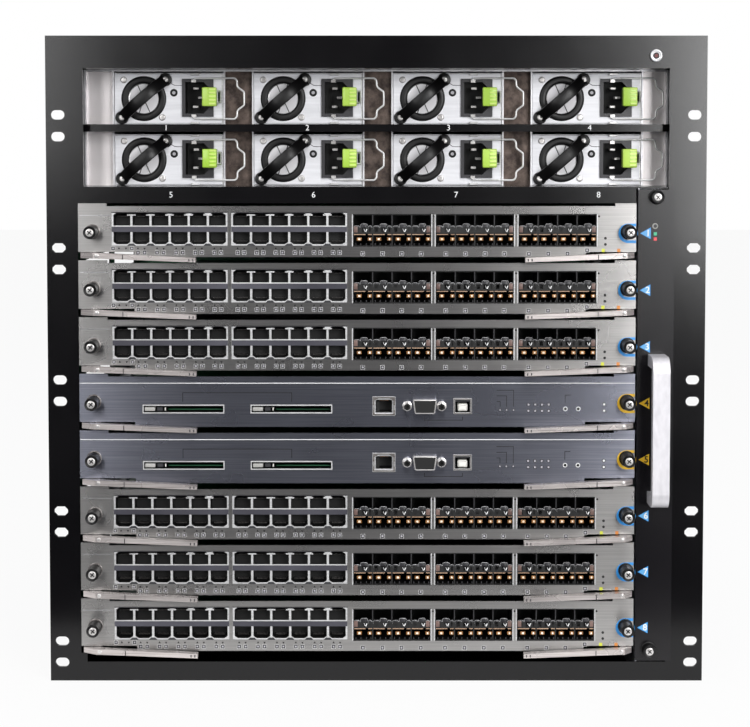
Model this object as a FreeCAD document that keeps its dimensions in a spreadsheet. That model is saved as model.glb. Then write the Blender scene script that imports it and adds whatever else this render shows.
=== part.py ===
import FreeCAD, Part
import math
import os
import re
import Sketcher

# Driving dimensions in millimetres, one row each: alias, value, meaning
SIZES = [
    ("body_wide", 440.0, "width of the case between the rack ears"),
    ("body_high", 476.0, "height of the case with its top cover"),
    ("body_deep", 430.0, "depth of the case from its front flange"),
    ("steel", 1.5, "sheet thickness of the case and its covers"),
    ("flange_wide", 6.0, "front flange of each side wall, seen from the front"),
    ("lip_high", 14.2, "height of the front lip of the base"),
    ("fit_gap", 0.3, "clearance between a piece and its seat"),
    ("cover_lip", 10.0, "height of the top cover's inner side lips"),
    ("vent_long", 150.0, "length of one side vent slot"),
    ("vent_high", 20.0, "height of one side vent slot"),
    ("vent_pitch", 78.0, "step from one row of vent slots to the next"),
    ("vent_rows", 4, "rows of vent slots"),
    ("vent_first_z", 66.0, "middle of the lowest row of vent slots"),
    ("vent_first_y", 40.0, "front end of the first column of vent slots"),
    ("vent_column", 175.0, "step between the two columns of vent slots"),
    ("exhaust_wide", 60.0, "width of a rear exhaust window"),
    ("exhaust_high", 26.0, "height of a rear exhaust window"),
    ("ear_wide", 21.3, "how far a rack ear reaches beyond the case"),
    ("ear_steel", 2.5, "sheet thickness of a rack ear"),
    ("ear_leg", 40.0, "depth of a rack ear's side leg"),
    ("slot_reach", 12.55, "middle of the rack slots from the case's side"),
    ("slot_long", 10.0, "length of a rack slot"),
    ("slot_wide", 6.8, "width of a rack slot"),
    ("slot_pair", 15.875, "step between the two slots of a pair"),
    ("slot_pitch", 97.2, "step from one pair of slots to the next"),
    ("slot_first", 21.7, "middle height of the lowest pair of slots"),
    ("header_high", 23.6, "height of the header panel"),
    ("header_return", 34.0, "depth of the header's lower return"),
    ("jack_x", 203.7, "place of the wrist strap jack across"),
    ("jack_drop", 14.6, "how far the wrist strap jack lies below the top"),
    ("jack_radius", 4.5, "radius of the wrist strap jack"),
    ("sheet", 1.2, "sheet thickness of the cage, shelves and guides"),
    ("sill_bottom", 354.0, "lower edge of the sill under the power bays"),
    ("sill_top", 366.0, "floor of the lower power bays"),
    ("sill_right", 190.0, "right end of the sill's front face"),
    ("shelf_bottom", 406.3, "underside of the shelf between the power bays"),
    ("shelf_top", 411.7, "top of the shelf between the power bays"),
    ("shelf_front", 17.0, "recess of the shelf behind the front"),
    ("power_front", 40.0, "recess of the power supply faces"),
    ("power_wide", 81.0, "width of a power supply"),
    ("power_high", 38.0, "height of a power supply"),
    ("power_deep", 330.0, "depth of a power supply"),
    ("power_left", -195.6, "left side of the first power supply"),
    ("power_pitch", 104.2, "step from one power supply to the next"),
    ("filler_edge", 1.3, "how far the bay walls stand before the supply faces"),
    ("filler_recess", 5.0, "recess of the filler plates behind the supply faces"),
    ("fan_x", 21.7, "middle of the supply's fan from its left side"),
    ("fan_radius", 16.6, "radius of the supply's fan opening"),
    ("fan_sunk", 14.0, "depth of the supply's fan opening"),
    ("hub_radius", 11.4, "radius of the supply's fan hub"),
    ("hub_low", 2.0, "how far the hub lies under the supply's face"),
    ("strap_reach", 13.0, "how far the supply's strap handle stands out"),
    ("strap_wide", 6.0, "width of the supply's strap handle"),
    ("strap_thick", 1.6, "thickness of the supply's strap handle"),
    ("strap_span", 43.0, "length of the supply's strap handle"),
    ("strap_foot", 6.0, "length of each foot of the strap handle"),
    ("strap_tilt", 41.0, "slant of the strap handle from level, degrees"),
    ("inlet_x", 50.5, "left side of the mains inlet's flange"),
    ("inlet_wide", 23.4, "width of the mains inlet's flange"),
    ("inlet_high", 28.3, "height of the mains inlet's flange"),
    ("inlet_drop", 0.6, "how far the inlet's middle lies above the supply's middle"),
    ("inlet_flange", 1.5, "thickness of the mains inlet's flange"),
    ("inlet_rim", 2.4, "wall of the mains inlet"),
    ("inlet_deep", 22.0, "depth of the mains inlet's housing"),
    ("inlet_cavity", 17.0, "depth of the mains inlet's socket"),
    ("inlet_bevel", 5.0, "cut corner of the mains inlet's socket"),
    ("latch_x", 66.5, "left side of the release latch's pad"),
    ("latch_wide", 10.1, "width of the release latch's pad"),
    ("latch_high", 13.4, "height of the release latch's pad"),
    ("latch_z", 1.2, "middle height of the release latch on its supply"),
    ("latch_reach", 13.0, "how far the latch's pad stands before the face"),
    ("latch_pad", 9.0, "thickness of the latch's pad, front to back"),
    ("latch_travel", 2.5, "travel of the release latch"),
    ("latch_arm", 1.5, "thickness of the sheet arm from the pad to the stem"),
    ("stem_wide", 2.2, "width of the release latch's stem"),
    ("stem_high", 9.0, "height of the release latch's stem"),
    ("stem_sunk", 8.0, "how deep the latch's stem reaches into the supply"),
    ("bail_x", 59.4, "pivot of the cord bail from the supply's left side"),
    ("bail_y", 2.6, "how far the bail's pivot stands before the face"),
    ("bail_half", 15.8, "half height of the cord bail"),
    ("bail_long", 28.6, "straight run of the cord bail from its pivot"),
    ("bail_drop", 12.6, "height of the bail's outer corner above its middle"),
    ("bail_out", 32.2, "reach of the cord bail's outer side"),
    ("bump_start", 7.6, "height above the middle where the bail's bump starts"),
    ("bump_half", 2.8, "half height of the end of the bail's bump"),
    ("bail_bump", 37.6, "reach of the cord bail's bump"),
    ("wire", 1.4, "thickness of the cord bail's wire"),
    ("clip_size", 3.4, "width of a bail clip"),
    ("clip_high", 2.2, "height of a bail clip"),
    ("slot_top_z", 333.2, "middle height of the top card"),
    ("card_pitch", 41.7, "step from one card to the next"),
    ("plate_left", -218.0, "left edge of a card's face plate"),
    ("plate_right", 190.0, "right edge of a card's face plate"),
    ("plate_up", 18.7, "face plate above the card's middle"),
    ("plate_down", 18.5, "face plate below the card's middle"),
    ("plate_thick", 2.0, "thickness of a face plate"),
    ("tab_rise", 2.0, "how far the raised end tabs stand up"),
    ("tab_left", 21.0, "width of the left end tab"),
    ("tab_right", 15.4, "width of the right end tab"),
    ("notch_rise", 3.7, "height of the lever notches in the lower edge"),
    ("notch_left", 40.9, "width of the left lever notch"),
    ("notch_right", 36.7, "width of the right lever notch"),
    ("board_thick", 1.6, "thickness of a card's circuit board"),
    ("board_top", -11.0, "top of the circuit board from the card's middle"),
    ("board_left", -213.5, "left edge of the circuit board"),
    ("board_right", 188.2, "right edge of the circuit board"),
    ("board_deep", 377.0, "depth of the circuit board"),
    ("plug_wide", 300.0, "width of a card's rear connector"),
    ("plug_high", 11.0, "height of a card's rear connector"),
    ("plug_deep", 12.0, "depth of a card's rear connector"),
    ("port_pitch", 13.97, "step from one network socket to the next"),
    ("port_wide", 11.9, "width of a network socket"),
    ("port_high", 7.7, "height of a network socket without its keyway"),
    ("port_key", 1.5, "height of a network socket's keyway"),
    ("port_key_in", 2.7, "how far the keyway is narrower on each side"),
    ("port_band", 4.6, "band between the two rows of sockets"),
    ("band_thick", 1.0, "thickness of the band in front of the sockets"),
    ("port_sunk", 12.5, "depth of a network socket"),
    ("port_deep", 19.0, "depth of a port block"),
    ("port_top", 14.3, "top of a port block from the card's middle"),
    ("port_low", -10.1, "lower edge of a port block's window"),
    ("port_edge", 1.4, "side wall of a port block beside its sockets"),
    ("ports_left", -193.4, "left side of the first port block"),
    ("ports_step", 87.4, "step from one port block to the next"),
    ("cage_edge", 0.7, "side wall of a cage block beside its openings"),
    ("cage_pitch", 14.25, "step from one module cage to the next"),
    ("cage_wide", 13.3, "width of a module cage opening"),
    ("cage_high", 8.9, "height of a module cage opening"),
    ("cage_sunk", 40.0, "depth of a module cage opening"),
    ("cage_deep", 48.0, "depth of a cage block"),
    ("cage_top", 12.8, "top of a cage block from the card's middle"),
    ("cages_left", -17.2, "left side of the first cage block"),
    ("cages_step", 60.5, "step from one cage block to the next"),
    ("window_gap", 0.2, "clearance of a block in its window"),
    ("front_sunk", 0.3, "how far a block's face lies under the plate's face"),
    ("screw_left", -207.5, "left captive screw across"),
    ("screw_right", 184.1, "right captive screw across"),
    ("screw_radius", 4.5, "radius of a captive screw's knob"),
    ("screw_long", 17.0, "length of a captive screw's knob"),
    ("lever_top", 15.2, "top of a lever's claw below the card's middle"),
    ("lever_high", 4.0, "height of a lever's claw"),
    ("arm_high", 3.2, "height of a lever's arm at its tip"),
    ("arm_drop", 3.6, "how far the arm's tip lies lower than its root"),
    ("arm_long", 75.0, "length of a lever from its pivot to its tip"),
    ("arm_wide", 7.0, "width of a lever's arm, front to back"),
    ("arm_front", 11.0, "how far the arm's front face stands before the plate's back"),
    ("claw_back", 4.0, "how far the claw reaches behind the plate"),
    ("claw_left", 9.6, "left claw's length from its pivot"),
    ("claw_right", 5.0, "right claw's length from its pivot"),
    ("pivot_left", -206.5, "left lever's pivot across"),
    ("pivot_right", 183.5, "right lever's pivot across"),
    ("root_half", 3.4, "half length of a lever's root about its pivot"),
    ("boss_size", 8.0, "width of the boss that holds a pivot pin"),
    ("boss_high", 3.4, "height of the boss that holds a pivot pin"),
    ("rail_wide", 9.0, "width of a card guide rail"),
    ("rail_high", 7.0, "height of a card guide rail"),
    ("rail_front", 16.0, "front end of the card guide rails"),
    ("divider_x", 191.6, "left face of the wall between cards and fan tray"),
    ("midplane_front", 390.0, "front face of the midplane"),
    ("midplane_thick", 3.2, "thickness of the midplane"),
    ("tray_left", 191.5, "left edge of the fan tray's panel"),
    ("tray_right", 218.0, "right edge of the fan tray's panel"),
    ("tray_bottom", 15.4, "lower edge of the fan tray's panel"),
    ("tray_top", 364.0, "upper edge of the fan tray's panel"),
    ("tray_deep", 372.0, "depth of the fan tray behind its panel"),
    ("rotor_size", 162.0, "side of a tray fan's frame"),
    ("rotor_thick", 17.0, "thickness of a tray fan's frame"),
    ("rotor_radius", 74.0, "radius of a tray fan's duct"),
    ("rotor_hub", 30.0, "radius of a tray fan's hub"),
    ("rotor_pitch", 168.0, "step from one tray fan to the next"),
    ("rotor_column", 176.0, "step between the two columns of tray fans"),
    ("rotor_first_y", 96.0, "middle of the first column of tray fans"),
    ("blade_count", 5, "blades of a tray fan"),
    ("blade_thick", 1.6, "thickness of a tray fan's blade"),
    ("grip_bottom", 133.4, "lower end of the fan tray's handle"),
    ("grip_top", 243.3, "upper end of the fan tray's handle"),
    ("grip_reach", 31.0, "how far the fan tray's handle stands out"),
    ("grip_bar", 8.5, "thickness of the handle's bar and legs"),
    ("grip_wide", 12.3, "width of the fan tray's handle"),
    ("grip_x", 205.5, "middle of the fan tray's handle"),
    ("grip_round", 11.0, "outer corner radius of the handle"),
    ("memory_wide", 58.6, "width of a memory card slot"),
    ("memory_high", 5.0, "height of a memory card slot"),
    ("memory_deep", 36.0, "depth of a memory card slot"),
    ("memory_first", -171.0, "left end of the first memory card slot"),
    ("memory_step", 79.3, "step between the memory card slots"),
    ("memory_z", -5.3, "middle height of the memory card slots"),
    ("memory_wall", 0.8, "wall of a memory card slot's housing"),
    ("console_x", 5.6, "middle of the network socket on a management card"),
    ("console_z", -3.1, "middle height of the management card's sockets"),
    ("console_size", 16.8, "width of the management card's network socket"),
    ("serial_x", 35.6, "middle of the serial connector"),
    ("serial_wide", 17.0, "width of the serial connector's shell"),
    ("serial_high", 9.9, "height of the serial connector's shell"),
    ("serial_out", 5.0, "how far the serial connector's shell stands out"),
    ("serial_slant", 1.6, "slant of the serial connector's sides"),
    ("square_x", 63.4, "middle of the square data socket"),
    ("square_wide", 13.4, "width of the square data socket"),
    ("square_high", 11.6, "height of the square data socket"),
]
SLOTS = 8
MANAGEMENT_SLOTS = (4, 5)
POWER_COLUMNS = 4
KNOB_SIDES = 10
FAN_SIDES = 14
TRAY_FAN_SIDES = 10
CARD_WORD = {True: "management_card", False: "line_card"}

doc = FreeCAD.newDocument("chassis_switch")
sheet = doc.addObject("Spreadsheet::Sheet", "sizes")
for row, (alias, value, note) in enumerate(SIZES, start=1):
    sheet.set("A%d" % row, note)
    sheet.set("B%d" % row, str(value))
    sheet.setAlias("B%d" % row, alias)
doc.recompute()
ALIASES = {alias for alias, value, note in SIZES}
nodes = []


# Formulas and their binding to the sheet
def formula(text):
    return re.sub(
        r"[a-z][a-z_]*",
        lambda word: "sizes." + word.group(0) if word.group(0) in ALIASES else word.group(0),
        str(text),
    )


def value_of(text):
    return float(sheet.evalExpression(formula(text)))


def bind(item, formulas):
    for name, text in formulas.items():
        item.setExpression(name, formula(text))


def place(item, x="0", y="0", z="0"):
    bind(item, {"Placement.Base.x": x, "Placement.Base.y": y, "Placement.Base.z": z})
    return item


# Plain solids given by their start and their size along each axis
def block(name, x, y, z):
    item = doc.addObject("Part::Box", name)
    bind(item, {"Length": x[1], "Width": y[1], "Height": z[1]})
    return place(item, x[0], y[0], z[0])


def rod(name, radius, length, x, y, z, axis):
    item = doc.addObject("Part::Cylinder", name)
    bind(item, {"Radius": radius, "Height": length})
    item.Placement = FreeCAD.Placement(FreeCAD.Vector(), FreeCAD.Rotation(*axis))
    return place(item, x, y, z)


TOWARDS_BACK = (FreeCAD.Vector(1, 0, 0), -90)
TOWARDS_RIGHT = (FreeCAD.Vector(0, 1, 0), 90)


# Rod with flat sides, for a knurled knob or a duct that needs few faces
def many_sided(name, sides, radius, length, x, y, z, axis):
    item = doc.addObject("Part::Prism", name)
    item.Polygon = sides
    bind(item, {"Circumradius": radius, "Height": length})
    item.Placement = FreeCAD.Placement(FreeCAD.Vector(), FreeCAD.Rotation(*axis))
    return place(item, x, y, z)



def cut(name, base, tool):
    item = doc.addObject("Part::Cut", name)
    item.Base = base
    item.Tool = tool
    return item


def fuse(name, pieces):
    item = doc.addObject("Part::MultiFuse", name)
    item.Shapes = pieces
    item.Refine = True
    return item


def group(name, pieces, x="0", y="0", z="0"):
    item = doc.addObject("Part::Compound", name)
    item.Links = pieces
    return place(item, x, y, z)


def node(label, pieces, x="0", y="0", z="0"):
    item = group("node_" + label, pieces, x, y, z)
    item.Label = label
    nodes.append(item)
    return item


# Sketched bodies: each corner of an outline is bound by two formulas
def plane_of(body, role):
    return next(item for item in body.Origin.OriginFeatures if item.Role == role)


def outline(body, name, role, loops, offset="0"):
    sketch = body.newObject("Sketcher::SketchObject", name)
    sketch.AttachmentSupport = [(plane_of(body, role), "")]
    sketch.MapMode = "FlatFace"
    bind(sketch, {"AttachmentOffset.Base.z": offset})
    for corners in loops:
        first = sketch.GeometryCount
        spots = [FreeCAD.Vector(value_of(u), value_of(v), 0) for u, v in corners]
        for index, spot in enumerate(spots):
            sketch.addGeometry(Part.LineSegment(spot, spots[(index + 1) % len(spots)]))
        for index, (u, v) in enumerate(corners):
            line = first + index
            after = first + (index + 1) % len(corners)
            sketch.addConstraint(Sketcher.Constraint("Coincident", line, 2, after, 1))
            for kind, text in (("DistanceX", u), ("DistanceY", v)):
                where = sketch.addConstraint(
                    Sketcher.Constraint(kind, -1, 1, line, 1, value_of(text))
                )
                sketch.setExpression("Constraints[%d]" % where, formula(text))
    return sketch


def pad(body, name, sketch, length, reverse=False):
    feature = body.newObject("PartDesign::Pad", name)
    feature.Profile = sketch
    feature.Reversed = reverse
    bind(feature, {"Length": length})
    return feature


def pocket(body, name, sketch, length, reverse=False, midplane=False):
    doc.recompute()
    before = body.Shape.Volume
    feature = body.newObject("PartDesign::Pocket", name)
    feature.Profile = sketch
    feature.Reversed = reverse
    feature.Midplane = midplane
    bind(feature, {"Length": length})
    doc.recompute()
    if body.Shape.Volume >= before:
        raise RuntimeError(name + " cuts nothing")
    return feature


def row_of(body, name, feature, role, count, length, reverse=False):
    pattern = body.newObject("PartDesign::LinearPattern", name)
    pattern.Originals = [feature]
    pattern.Direction = (next(o for o in body.Origin.OriginFeatures if o.Role == role), [""])
    pattern.Reversed = reverse
    pattern.Mode = 0
    bind(pattern, {"Length": length, "Occurrences": count})
    body.Tip = pattern
    return pattern


def new_body(name):
    return doc.addObject("PartDesign::Body", name)


# An outline in the front view, thick from one depth to a deeper one
def front_prism(name, corners, start, length, holes=()):
    body = new_body(name)
    sketch = outline(body, name + "_outline", "XZ_Plane", [corners, *holes], "-(%s)" % start)
    pad(body, name + "_pad", sketch, length, reverse=True)
    return body


# An outline in the plan view, from one height upwards
def plan_prism(name, corners, start, length):
    body = new_body(name)
    sketch = outline(body, name + "_outline", "XY_Plane", [corners], start)
    pad(body, name + "_pad", sketch, length)
    return body


# An outline in the side view, from one place across to the right
def side_prism(name, corners, start, length):
    body = new_body(name)
    sketch = outline(body, name + "_outline", "YZ_Plane", [corners], start)
    pad(body, name + "_pad", sketch, length)
    return body


def rectangle(left, low, right, high):
    return [(left, low), (right, low), (right, high), (left, high)]


INNER = "(body_wide/2 - steel)"
HEADER_BOTTOM = "(body_high - header_high)"
WALL_TOP = "(body_high - steel)"


# Case: a folded tray with side walls, front flanges, a front lip and vent slots
def chassis_case():
    side = "(body_wide/2)"
    channel = [
        ("-" + side, "0"),
        (side, "0"),
        (side, WALL_TOP),
        (INNER, WALL_TOP),
        (INNER, "steel"),
        ("-" + INNER, "steel"),
        ("-" + INNER, WALL_TOP),
        ("-" + side, WALL_TOP),
    ]
    body = front_prism("case_shell", channel, "0", "body_deep - steel")
    inner_flange = "(body_wide/2 - flange_wide)"
    flanges = outline(
        body,
        "case_flanges",
        "XZ_Plane",
        [
            [
                ("-" + side, "0"),
                (side, "0"),
                (side, WALL_TOP),
                (inner_flange, WALL_TOP),
                (inner_flange, "lip_high"),
                ("-" + inner_flange, "lip_high"),
                ("-" + inner_flange, WALL_TOP),
                ("-" + side, WALL_TOP),
            ]
        ],
    )
    pad(body, "case_flange_pad", flanges, "steel", reverse=True)
    low = "slot_top_z - %d*card_pitch - lever_top - lever_high - 1.2" % (SLOTS - 1)
    notch = outline(
        body,
        "claw_notch",
        "XZ_Plane",
        [rectangle("-" + INNER, low, "-%s + 1" % inner_flange, "%s + lever_high + 1.8" % low)],
    )
    cutter = pocket(body, "claw_notch_cut", notch, "steel")
    row_of(body, "claw_notches", cutter, "Z_Axis", str(SLOTS), "%d*card_pitch" % (SLOTS - 1))
    vents = outline(
        body,
        "vent_slots",
        "YZ_Plane",
        [
            rectangle(
                "vent_first_y + %d*vent_column" % column,
                "vent_first_z - vent_high/2",
                "vent_first_y + %d*vent_column + vent_long" % column,
                "vent_first_z + vent_high/2",
            )
            for column in range(2)
        ],
    )
    vent = pocket(body, "vent_cut", vents, "body_wide + steel", midplane=True)
    row_of(body, "vent_rows_cut", vent, "Z_Axis", "vent_rows", "(vent_rows - 1)*vent_pitch")
    node("chassis_case", [body])


# Top cover: a flat lid with two side lips inside the walls
def top_cover():
    lid = block("lid", ("-body_wide/2", "body_wide"), ("0", "body_deep"), (WALL_TOP, "steel"))
    lips = [
        block(
            "lid_lip_" + word,
            (x, "steel"),
            ("2*steel", "body_deep - 4*steel"),
            (WALL_TOP + " - cover_lip", "cover_lip"),
        )
        for word, x in (
            ("left", "-%s + fit_gap" % INNER),
            ("right", "%s - fit_gap - steel" % INNER),
        )
    ]
    node("top_cover", [fuse("lid_folded", [lid, *lips])])


# Left side of the power supply in one column
def power_x(column):
    return "(power_left + %d*power_pitch)" % column


# Rear cover: a plate with one exhaust window behind each supply
def rear_cover():
    plate = block(
        "rear_plate",
        ("-body_wide/2", "body_wide"),
        ("body_deep - steel", "steel"),
        ("0", WALL_TOP),
    )
    windows = [
        block(
            "exhaust_%s_%d" % (word, column),
            ("%s + power_wide/2 - exhaust_wide/2" % power_x(column), "exhaust_wide"),
            ("body_deep - 2*steel", "3*steel"),
            ("%s + (power_high - exhaust_high)/2" % floor, "exhaust_high"),
        )
        for word, floor in (("low", "sill_top"), ("high", "shelf_top"))
        for column in range(POWER_COLUMNS)
    ]
    node("rear_cover", [cut("rear_panel", plate, group("exhausts", windows))])


# Slot with round ends, drawn level about its middle
def slot_outline(sketch, across, height):
    radius, half = "slot_wide/2", "(slot_long - slot_wide)/2"
    size, shift = value_of(radius), value_of(half)
    middle = FreeCAD.Vector(value_of(across), value_of(height), 0)
    first = sketch.GeometryCount
    normal, quarter = FreeCAD.Vector(0, 0, 1), math.pi / 2
    for side, start in ((1, -quarter), (-1, quarter)):
        circle = Part.Circle(middle + FreeCAD.Vector(side * shift, 0, 0), normal, size)
        sketch.addGeometry(Part.ArcOfCircle(circle, start, start + 2 * quarter))
    for up in (1, -1):
        ends = [middle + FreeCAD.Vector(side * shift * up, size * up, 0) for side in (1, -1)]
        sketch.addGeometry(Part.LineSegment(*ends))
    right, left, top, bottom = range(first, first + 4)
    joints = ((right, 2, top, 1), (top, 2, left, 1), (left, 2, bottom, 1), (bottom, 2, right, 1))
    for joint in joints:
        sketch.addConstraint(Sketcher.Constraint("Tangent", *joint))
    sketch.addConstraint(Sketcher.Constraint("Equal", right, left))
    where = sketch.addConstraint(Sketcher.Constraint("Radius", right, size))
    sketch.setExpression("Constraints[%d]" % where, formula(radius))
    for arc, sign in ((right, "+"), (left, "-")):
        for kind, text in (("DistanceX", "%s %s %s" % (across, sign, half)), ("DistanceY", height)):
            where = sketch.addConstraint(
                Sketcher.Constraint(kind, -1, 1, arc, 3, value_of(text))
            )
            sketch.setExpression("Constraints[%d]" % where, formula(text))


# Slot with cut corners, for the pairs between those used for mounting
def cut_slot(across, height):
    corner = "slot_wide/3"
    long, high = "slot_long/2", "slot_wide/2"
    corners = []
    for up, out in (("-", "+"), ("+", "+"), ("+", "-"), ("-", "-")):
        flat = ("%s %s (%s - %s)" % (across, out, long, corner), "%s %s %s" % (height, up, high))
        side = ("%s %s %s" % (across, out, long), "%s %s (%s - %s)" % (height, up, high, corner))
        corners += [flat, side] if up != out else [side, flat]
    return corners


# Rack ear: an angle with five pairs of slots, three of them with round ends
def rack_ear(word, sign):
    inner = "%sbody_wide/2" % sign
    outer = "%s(body_wide/2 + ear_wide)" % sign
    leg = "%s(body_wide/2 + ear_steel)" % sign
    angle = [(inner, "0"), (outer, "0"), (outer, "ear_steel"), (leg, "ear_steel")]
    angle += [(leg, "ear_leg"), (inner, "ear_leg")]
    body = plan_prism("ear_angle_" + word, angle, "0", "body_high")
    across = "%s(body_wide/2 + slot_reach)" % sign
    heights = ("(slot_first - slot_pair/2)", "(slot_first + slot_pair/2)")
    pair = outline(body, "slot_pair_" + word, "XZ_Plane", [])
    for height in heights:
        slot_outline(pair, across, height)
    cutter = pocket(body, "slot_pair_cut_" + word, pair, "3*ear_steel", midplane=True)
    row_of(body, "slot_pairs_" + word, cutter, "Z_Axis", "3", "4*slot_pitch")
    between = [cut_slot(across, "(%s + slot_pitch)" % height) for height in heights]
    middle = outline(body, "middle_pair_" + word, "XZ_Plane", between)
    cutter = pocket(body, "middle_pair_cut_" + word, middle, "3*ear_steel", midplane=True)
    row_of(body, "middle_pairs_" + word, cutter, "Z_Axis", "2", "2*slot_pitch")
    node("rack_ear_" + word, [body])


# Header: the fascia above the power bays with its lower return and the wrist strap jack
def header_panel():
    half = "(body_wide/2 - flange_wide)"
    profile = [
        ("0", HEADER_BOTTOM),
        ("header_return", HEADER_BOTTOM),
        ("header_return", HEADER_BOTTOM + " + sheet"),
        ("steel", HEADER_BOTTOM + " + sheet"),
        ("steel", WALL_TOP),
        ("0", WALL_TOP),
    ]
    fascia = side_prism("fascia", profile, "-" + half, "2*" + half)
    jack = rod("jack", "jack_radius", "steel", "jack_x", "-steel", "body_high - jack_drop", TOWARDS_BACK)
    node("header_panel", [fascia, jack])



# Shelf between the bays and the floor with its front sill
def power_shelf():
    inside = "(%s - fit_gap)" % INNER
    channel = [
        ("shelf_front", "shelf_bottom"),
        ("midplane_front", "shelf_bottom"),
        ("midplane_front", "shelf_bottom + sheet"),
        ("shelf_front + sheet", "shelf_bottom + sheet"),
        ("shelf_front + sheet", "shelf_top - sheet"),
        ("midplane_front", "shelf_top - sheet"),
        ("midplane_front", "shelf_top"),
        ("shelf_front", "shelf_top"),
    ]
    shelf = side_prism("shelf", channel, "-" + inside, "2*" + inside)
    floor = block(
        "bay_floor",
        ("-" + inside, "2*" + inside),
        ("steel + fit_gap", "midplane_front - steel - fit_gap"),
        ("sill_top - sheet", "sheet"),
    )
    left = "(flange_wide - body_wide/2)"
    sill = block(
        "sill",
        (left, "sill_right - " + left),
        ("0", "steel + fit_gap"),
        ("sill_bottom", "sill_top - sill_bottom"),
    )
    node("power_shelf", [shelf, fuse("floor_and_sill", [floor, sill])])


# Cage: folded fillers beside the supplies, and the ceiling above them
def power_cage():
    pieces = []
    front = "(power_front - filler_edge)"
    plate = "(power_front + filler_recess)"
    edges = ["-%s + fit_gap" % INNER]
    for column in range(POWER_COLUMNS):
        edges += ["%s - fit_gap" % power_x(column), "%s + power_wide + fit_gap" % power_x(column)]
    edges.append("%s - fit_gap" % INNER)
    rows = (("low", "sill_top", "shelf_bottom"), ("high", "shelf_top", HEADER_BOTTOM + " - sheet"))
    for word, floor, ceiling in rows:
        for index in range(POWER_COLUMNS + 1):
            left, right = edges[2 * index], edges[2 * index + 1]
            folded = [
                (left, front),
                ("%s + sheet" % left, front),
                ("%s + sheet" % left, plate),
                ("%s - sheet" % right, plate),
                ("%s - sheet" % right, front),
                (right, front),
                (right, "midplane_front"),
                ("%s - sheet" % right, "midplane_front"),
                ("%s - sheet" % right, plate + " + sheet"),
                ("%s + sheet" % left, plate + " + sheet"),
                ("%s + sheet" % left, "midplane_front"),
                (left, "midplane_front"),
            ]
            name = "filler_%s_%d" % (word, index)
            pieces.append(plan_prism(name, folded, floor, "%s - (%s)" % (ceiling, floor)))
    inside = "(%s - fit_gap)" % INNER
    pieces.append(
        block(
            "bay_ceiling",
            ("-" + inside, "2*" + inside),
            (front, "midplane_front - " + front),
            (HEADER_BOTTOM + " - sheet", "sheet"),
        )
    )
    node("power_cage", pieces)


# Middle height of the card in one slot
def card_z(slot):
    return "(slot_top_z - %d*card_pitch)" % (slot - 1)


# Floor height of the power bays: the upper row holds supplies 1 to 4
def bay_z(row):
    return ("shelf_top + fit_gap", "sill_top + fit_gap")[row]


# Midplane: one board with a socket for each card and each supply
def midplane():
    inside = "(%s - fit_gap)" % INNER
    pieces = [
        block(
            "midplane_board",
            ("-" + inside, "2*" + inside),
            ("midplane_front", "midplane_thick"),
            ("steel", HEADER_BOTTOM + " - sheet - steel"),
        )
    ]
    back = "(board_deep + fit_gap)"
    for slot in range(1, SLOTS + 1):
        pieces.append(
            block(
                "card_socket_%d" % slot,
                ("(board_left + board_right)/2 - plug_wide/2", "plug_wide"),
                (back, "midplane_front - " + back),
                ("%s + board_top - board_thick" % card_z(slot), "plug_high"),
            )
        )
    end = "(power_front + power_deep + fit_gap)"
    for row in range(2):
        for column in range(POWER_COLUMNS):
            pieces.append(
                block(
                    "power_socket_%d_%d" % (row, column),
                    ("%s + power_wide/4" % power_x(column), "power_wide/2"),
                    (end, "midplane_front - " + end),
                    (bay_z(row), "plug_high"),
                )
            )
    node("midplane", pieces)


# Guides: a slotted rail on each side of each card, the dividing wall and the tray's runners
def card_guides():
    slot_low = "(board_top - board_thick - fit_gap)"
    slot_high = "(board_top + fit_gap)"
    low = "((%s + %s)/2 - rail_high/2)" % (slot_low, slot_high)
    length = "midplane_front - fit_gap - rail_front"
    sides = (
        ("left", "-" + INNER, "(rail_wide - %s)" % INNER, "board_left - fit_gap"),
        ("right", "divider_x", "(divider_x - rail_wide)", "board_right + fit_gap"),
    )
    pieces = []
    for word, wall, inner, stop in sides:
        channel = [
            (wall, low),
            (inner, low),
            (inner, slot_low),
            (stop, slot_low),
            (stop, slot_high),
            (inner, slot_high),
            (inner, low + " + rail_high"),
            (wall, low + " + rail_high"),
        ]
        rail = front_prism("rail_" + word, channel, "rail_front", length)
        for slot in range(1, SLOTS + 1):
            pieces.append(group("rail_%s_%d" % (word, slot), [rail], z=card_z(slot)))
    back = "(midplane_front - fit_gap)"
    wall = new_body("divider")
    face = outline(
        wall,
        "divider_outline",
        "YZ_Plane",
        [rectangle("steel + fit_gap", "steel", back, "sill_top - sheet")],
        "divider_x",
    )
    pad(wall, "divider_pad", face, "sheet")
    step = "((sill_bottom - tray_bottom)/3)"
    air = outline(
        wall,
        "air_gap",
        "YZ_Plane",
        [
            rectangle(
                "rail_front + ear_leg",
                "tray_bottom + card_pitch/2",
                back + " - ear_leg",
                "tray_bottom - card_pitch/2 + " + step,
            )
        ],
        "divider_x",
    )
    gap = pocket(wall, "air_gap_cut", air, "sheet", reverse=True)
    row_of(wall, "air_gaps", gap, "Z_Axis", "3", "2*" + step)
    pieces.append(wall)
    runner = ("divider_x + sheet", "body_wide/2 - flange_wide - divider_x - sheet")
    deep = ("rail_front", "tray_deep - rail_front")
    pieces.append(block("runner_low", runner, deep, ("steel", "tray_bottom - steel")))
    top = "(tray_top - fit_gap)"
    pieces.append(block("runner_high", runner, deep, (top, "sill_top - sheet - " + top)))
    node("card_guides", pieces)


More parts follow.
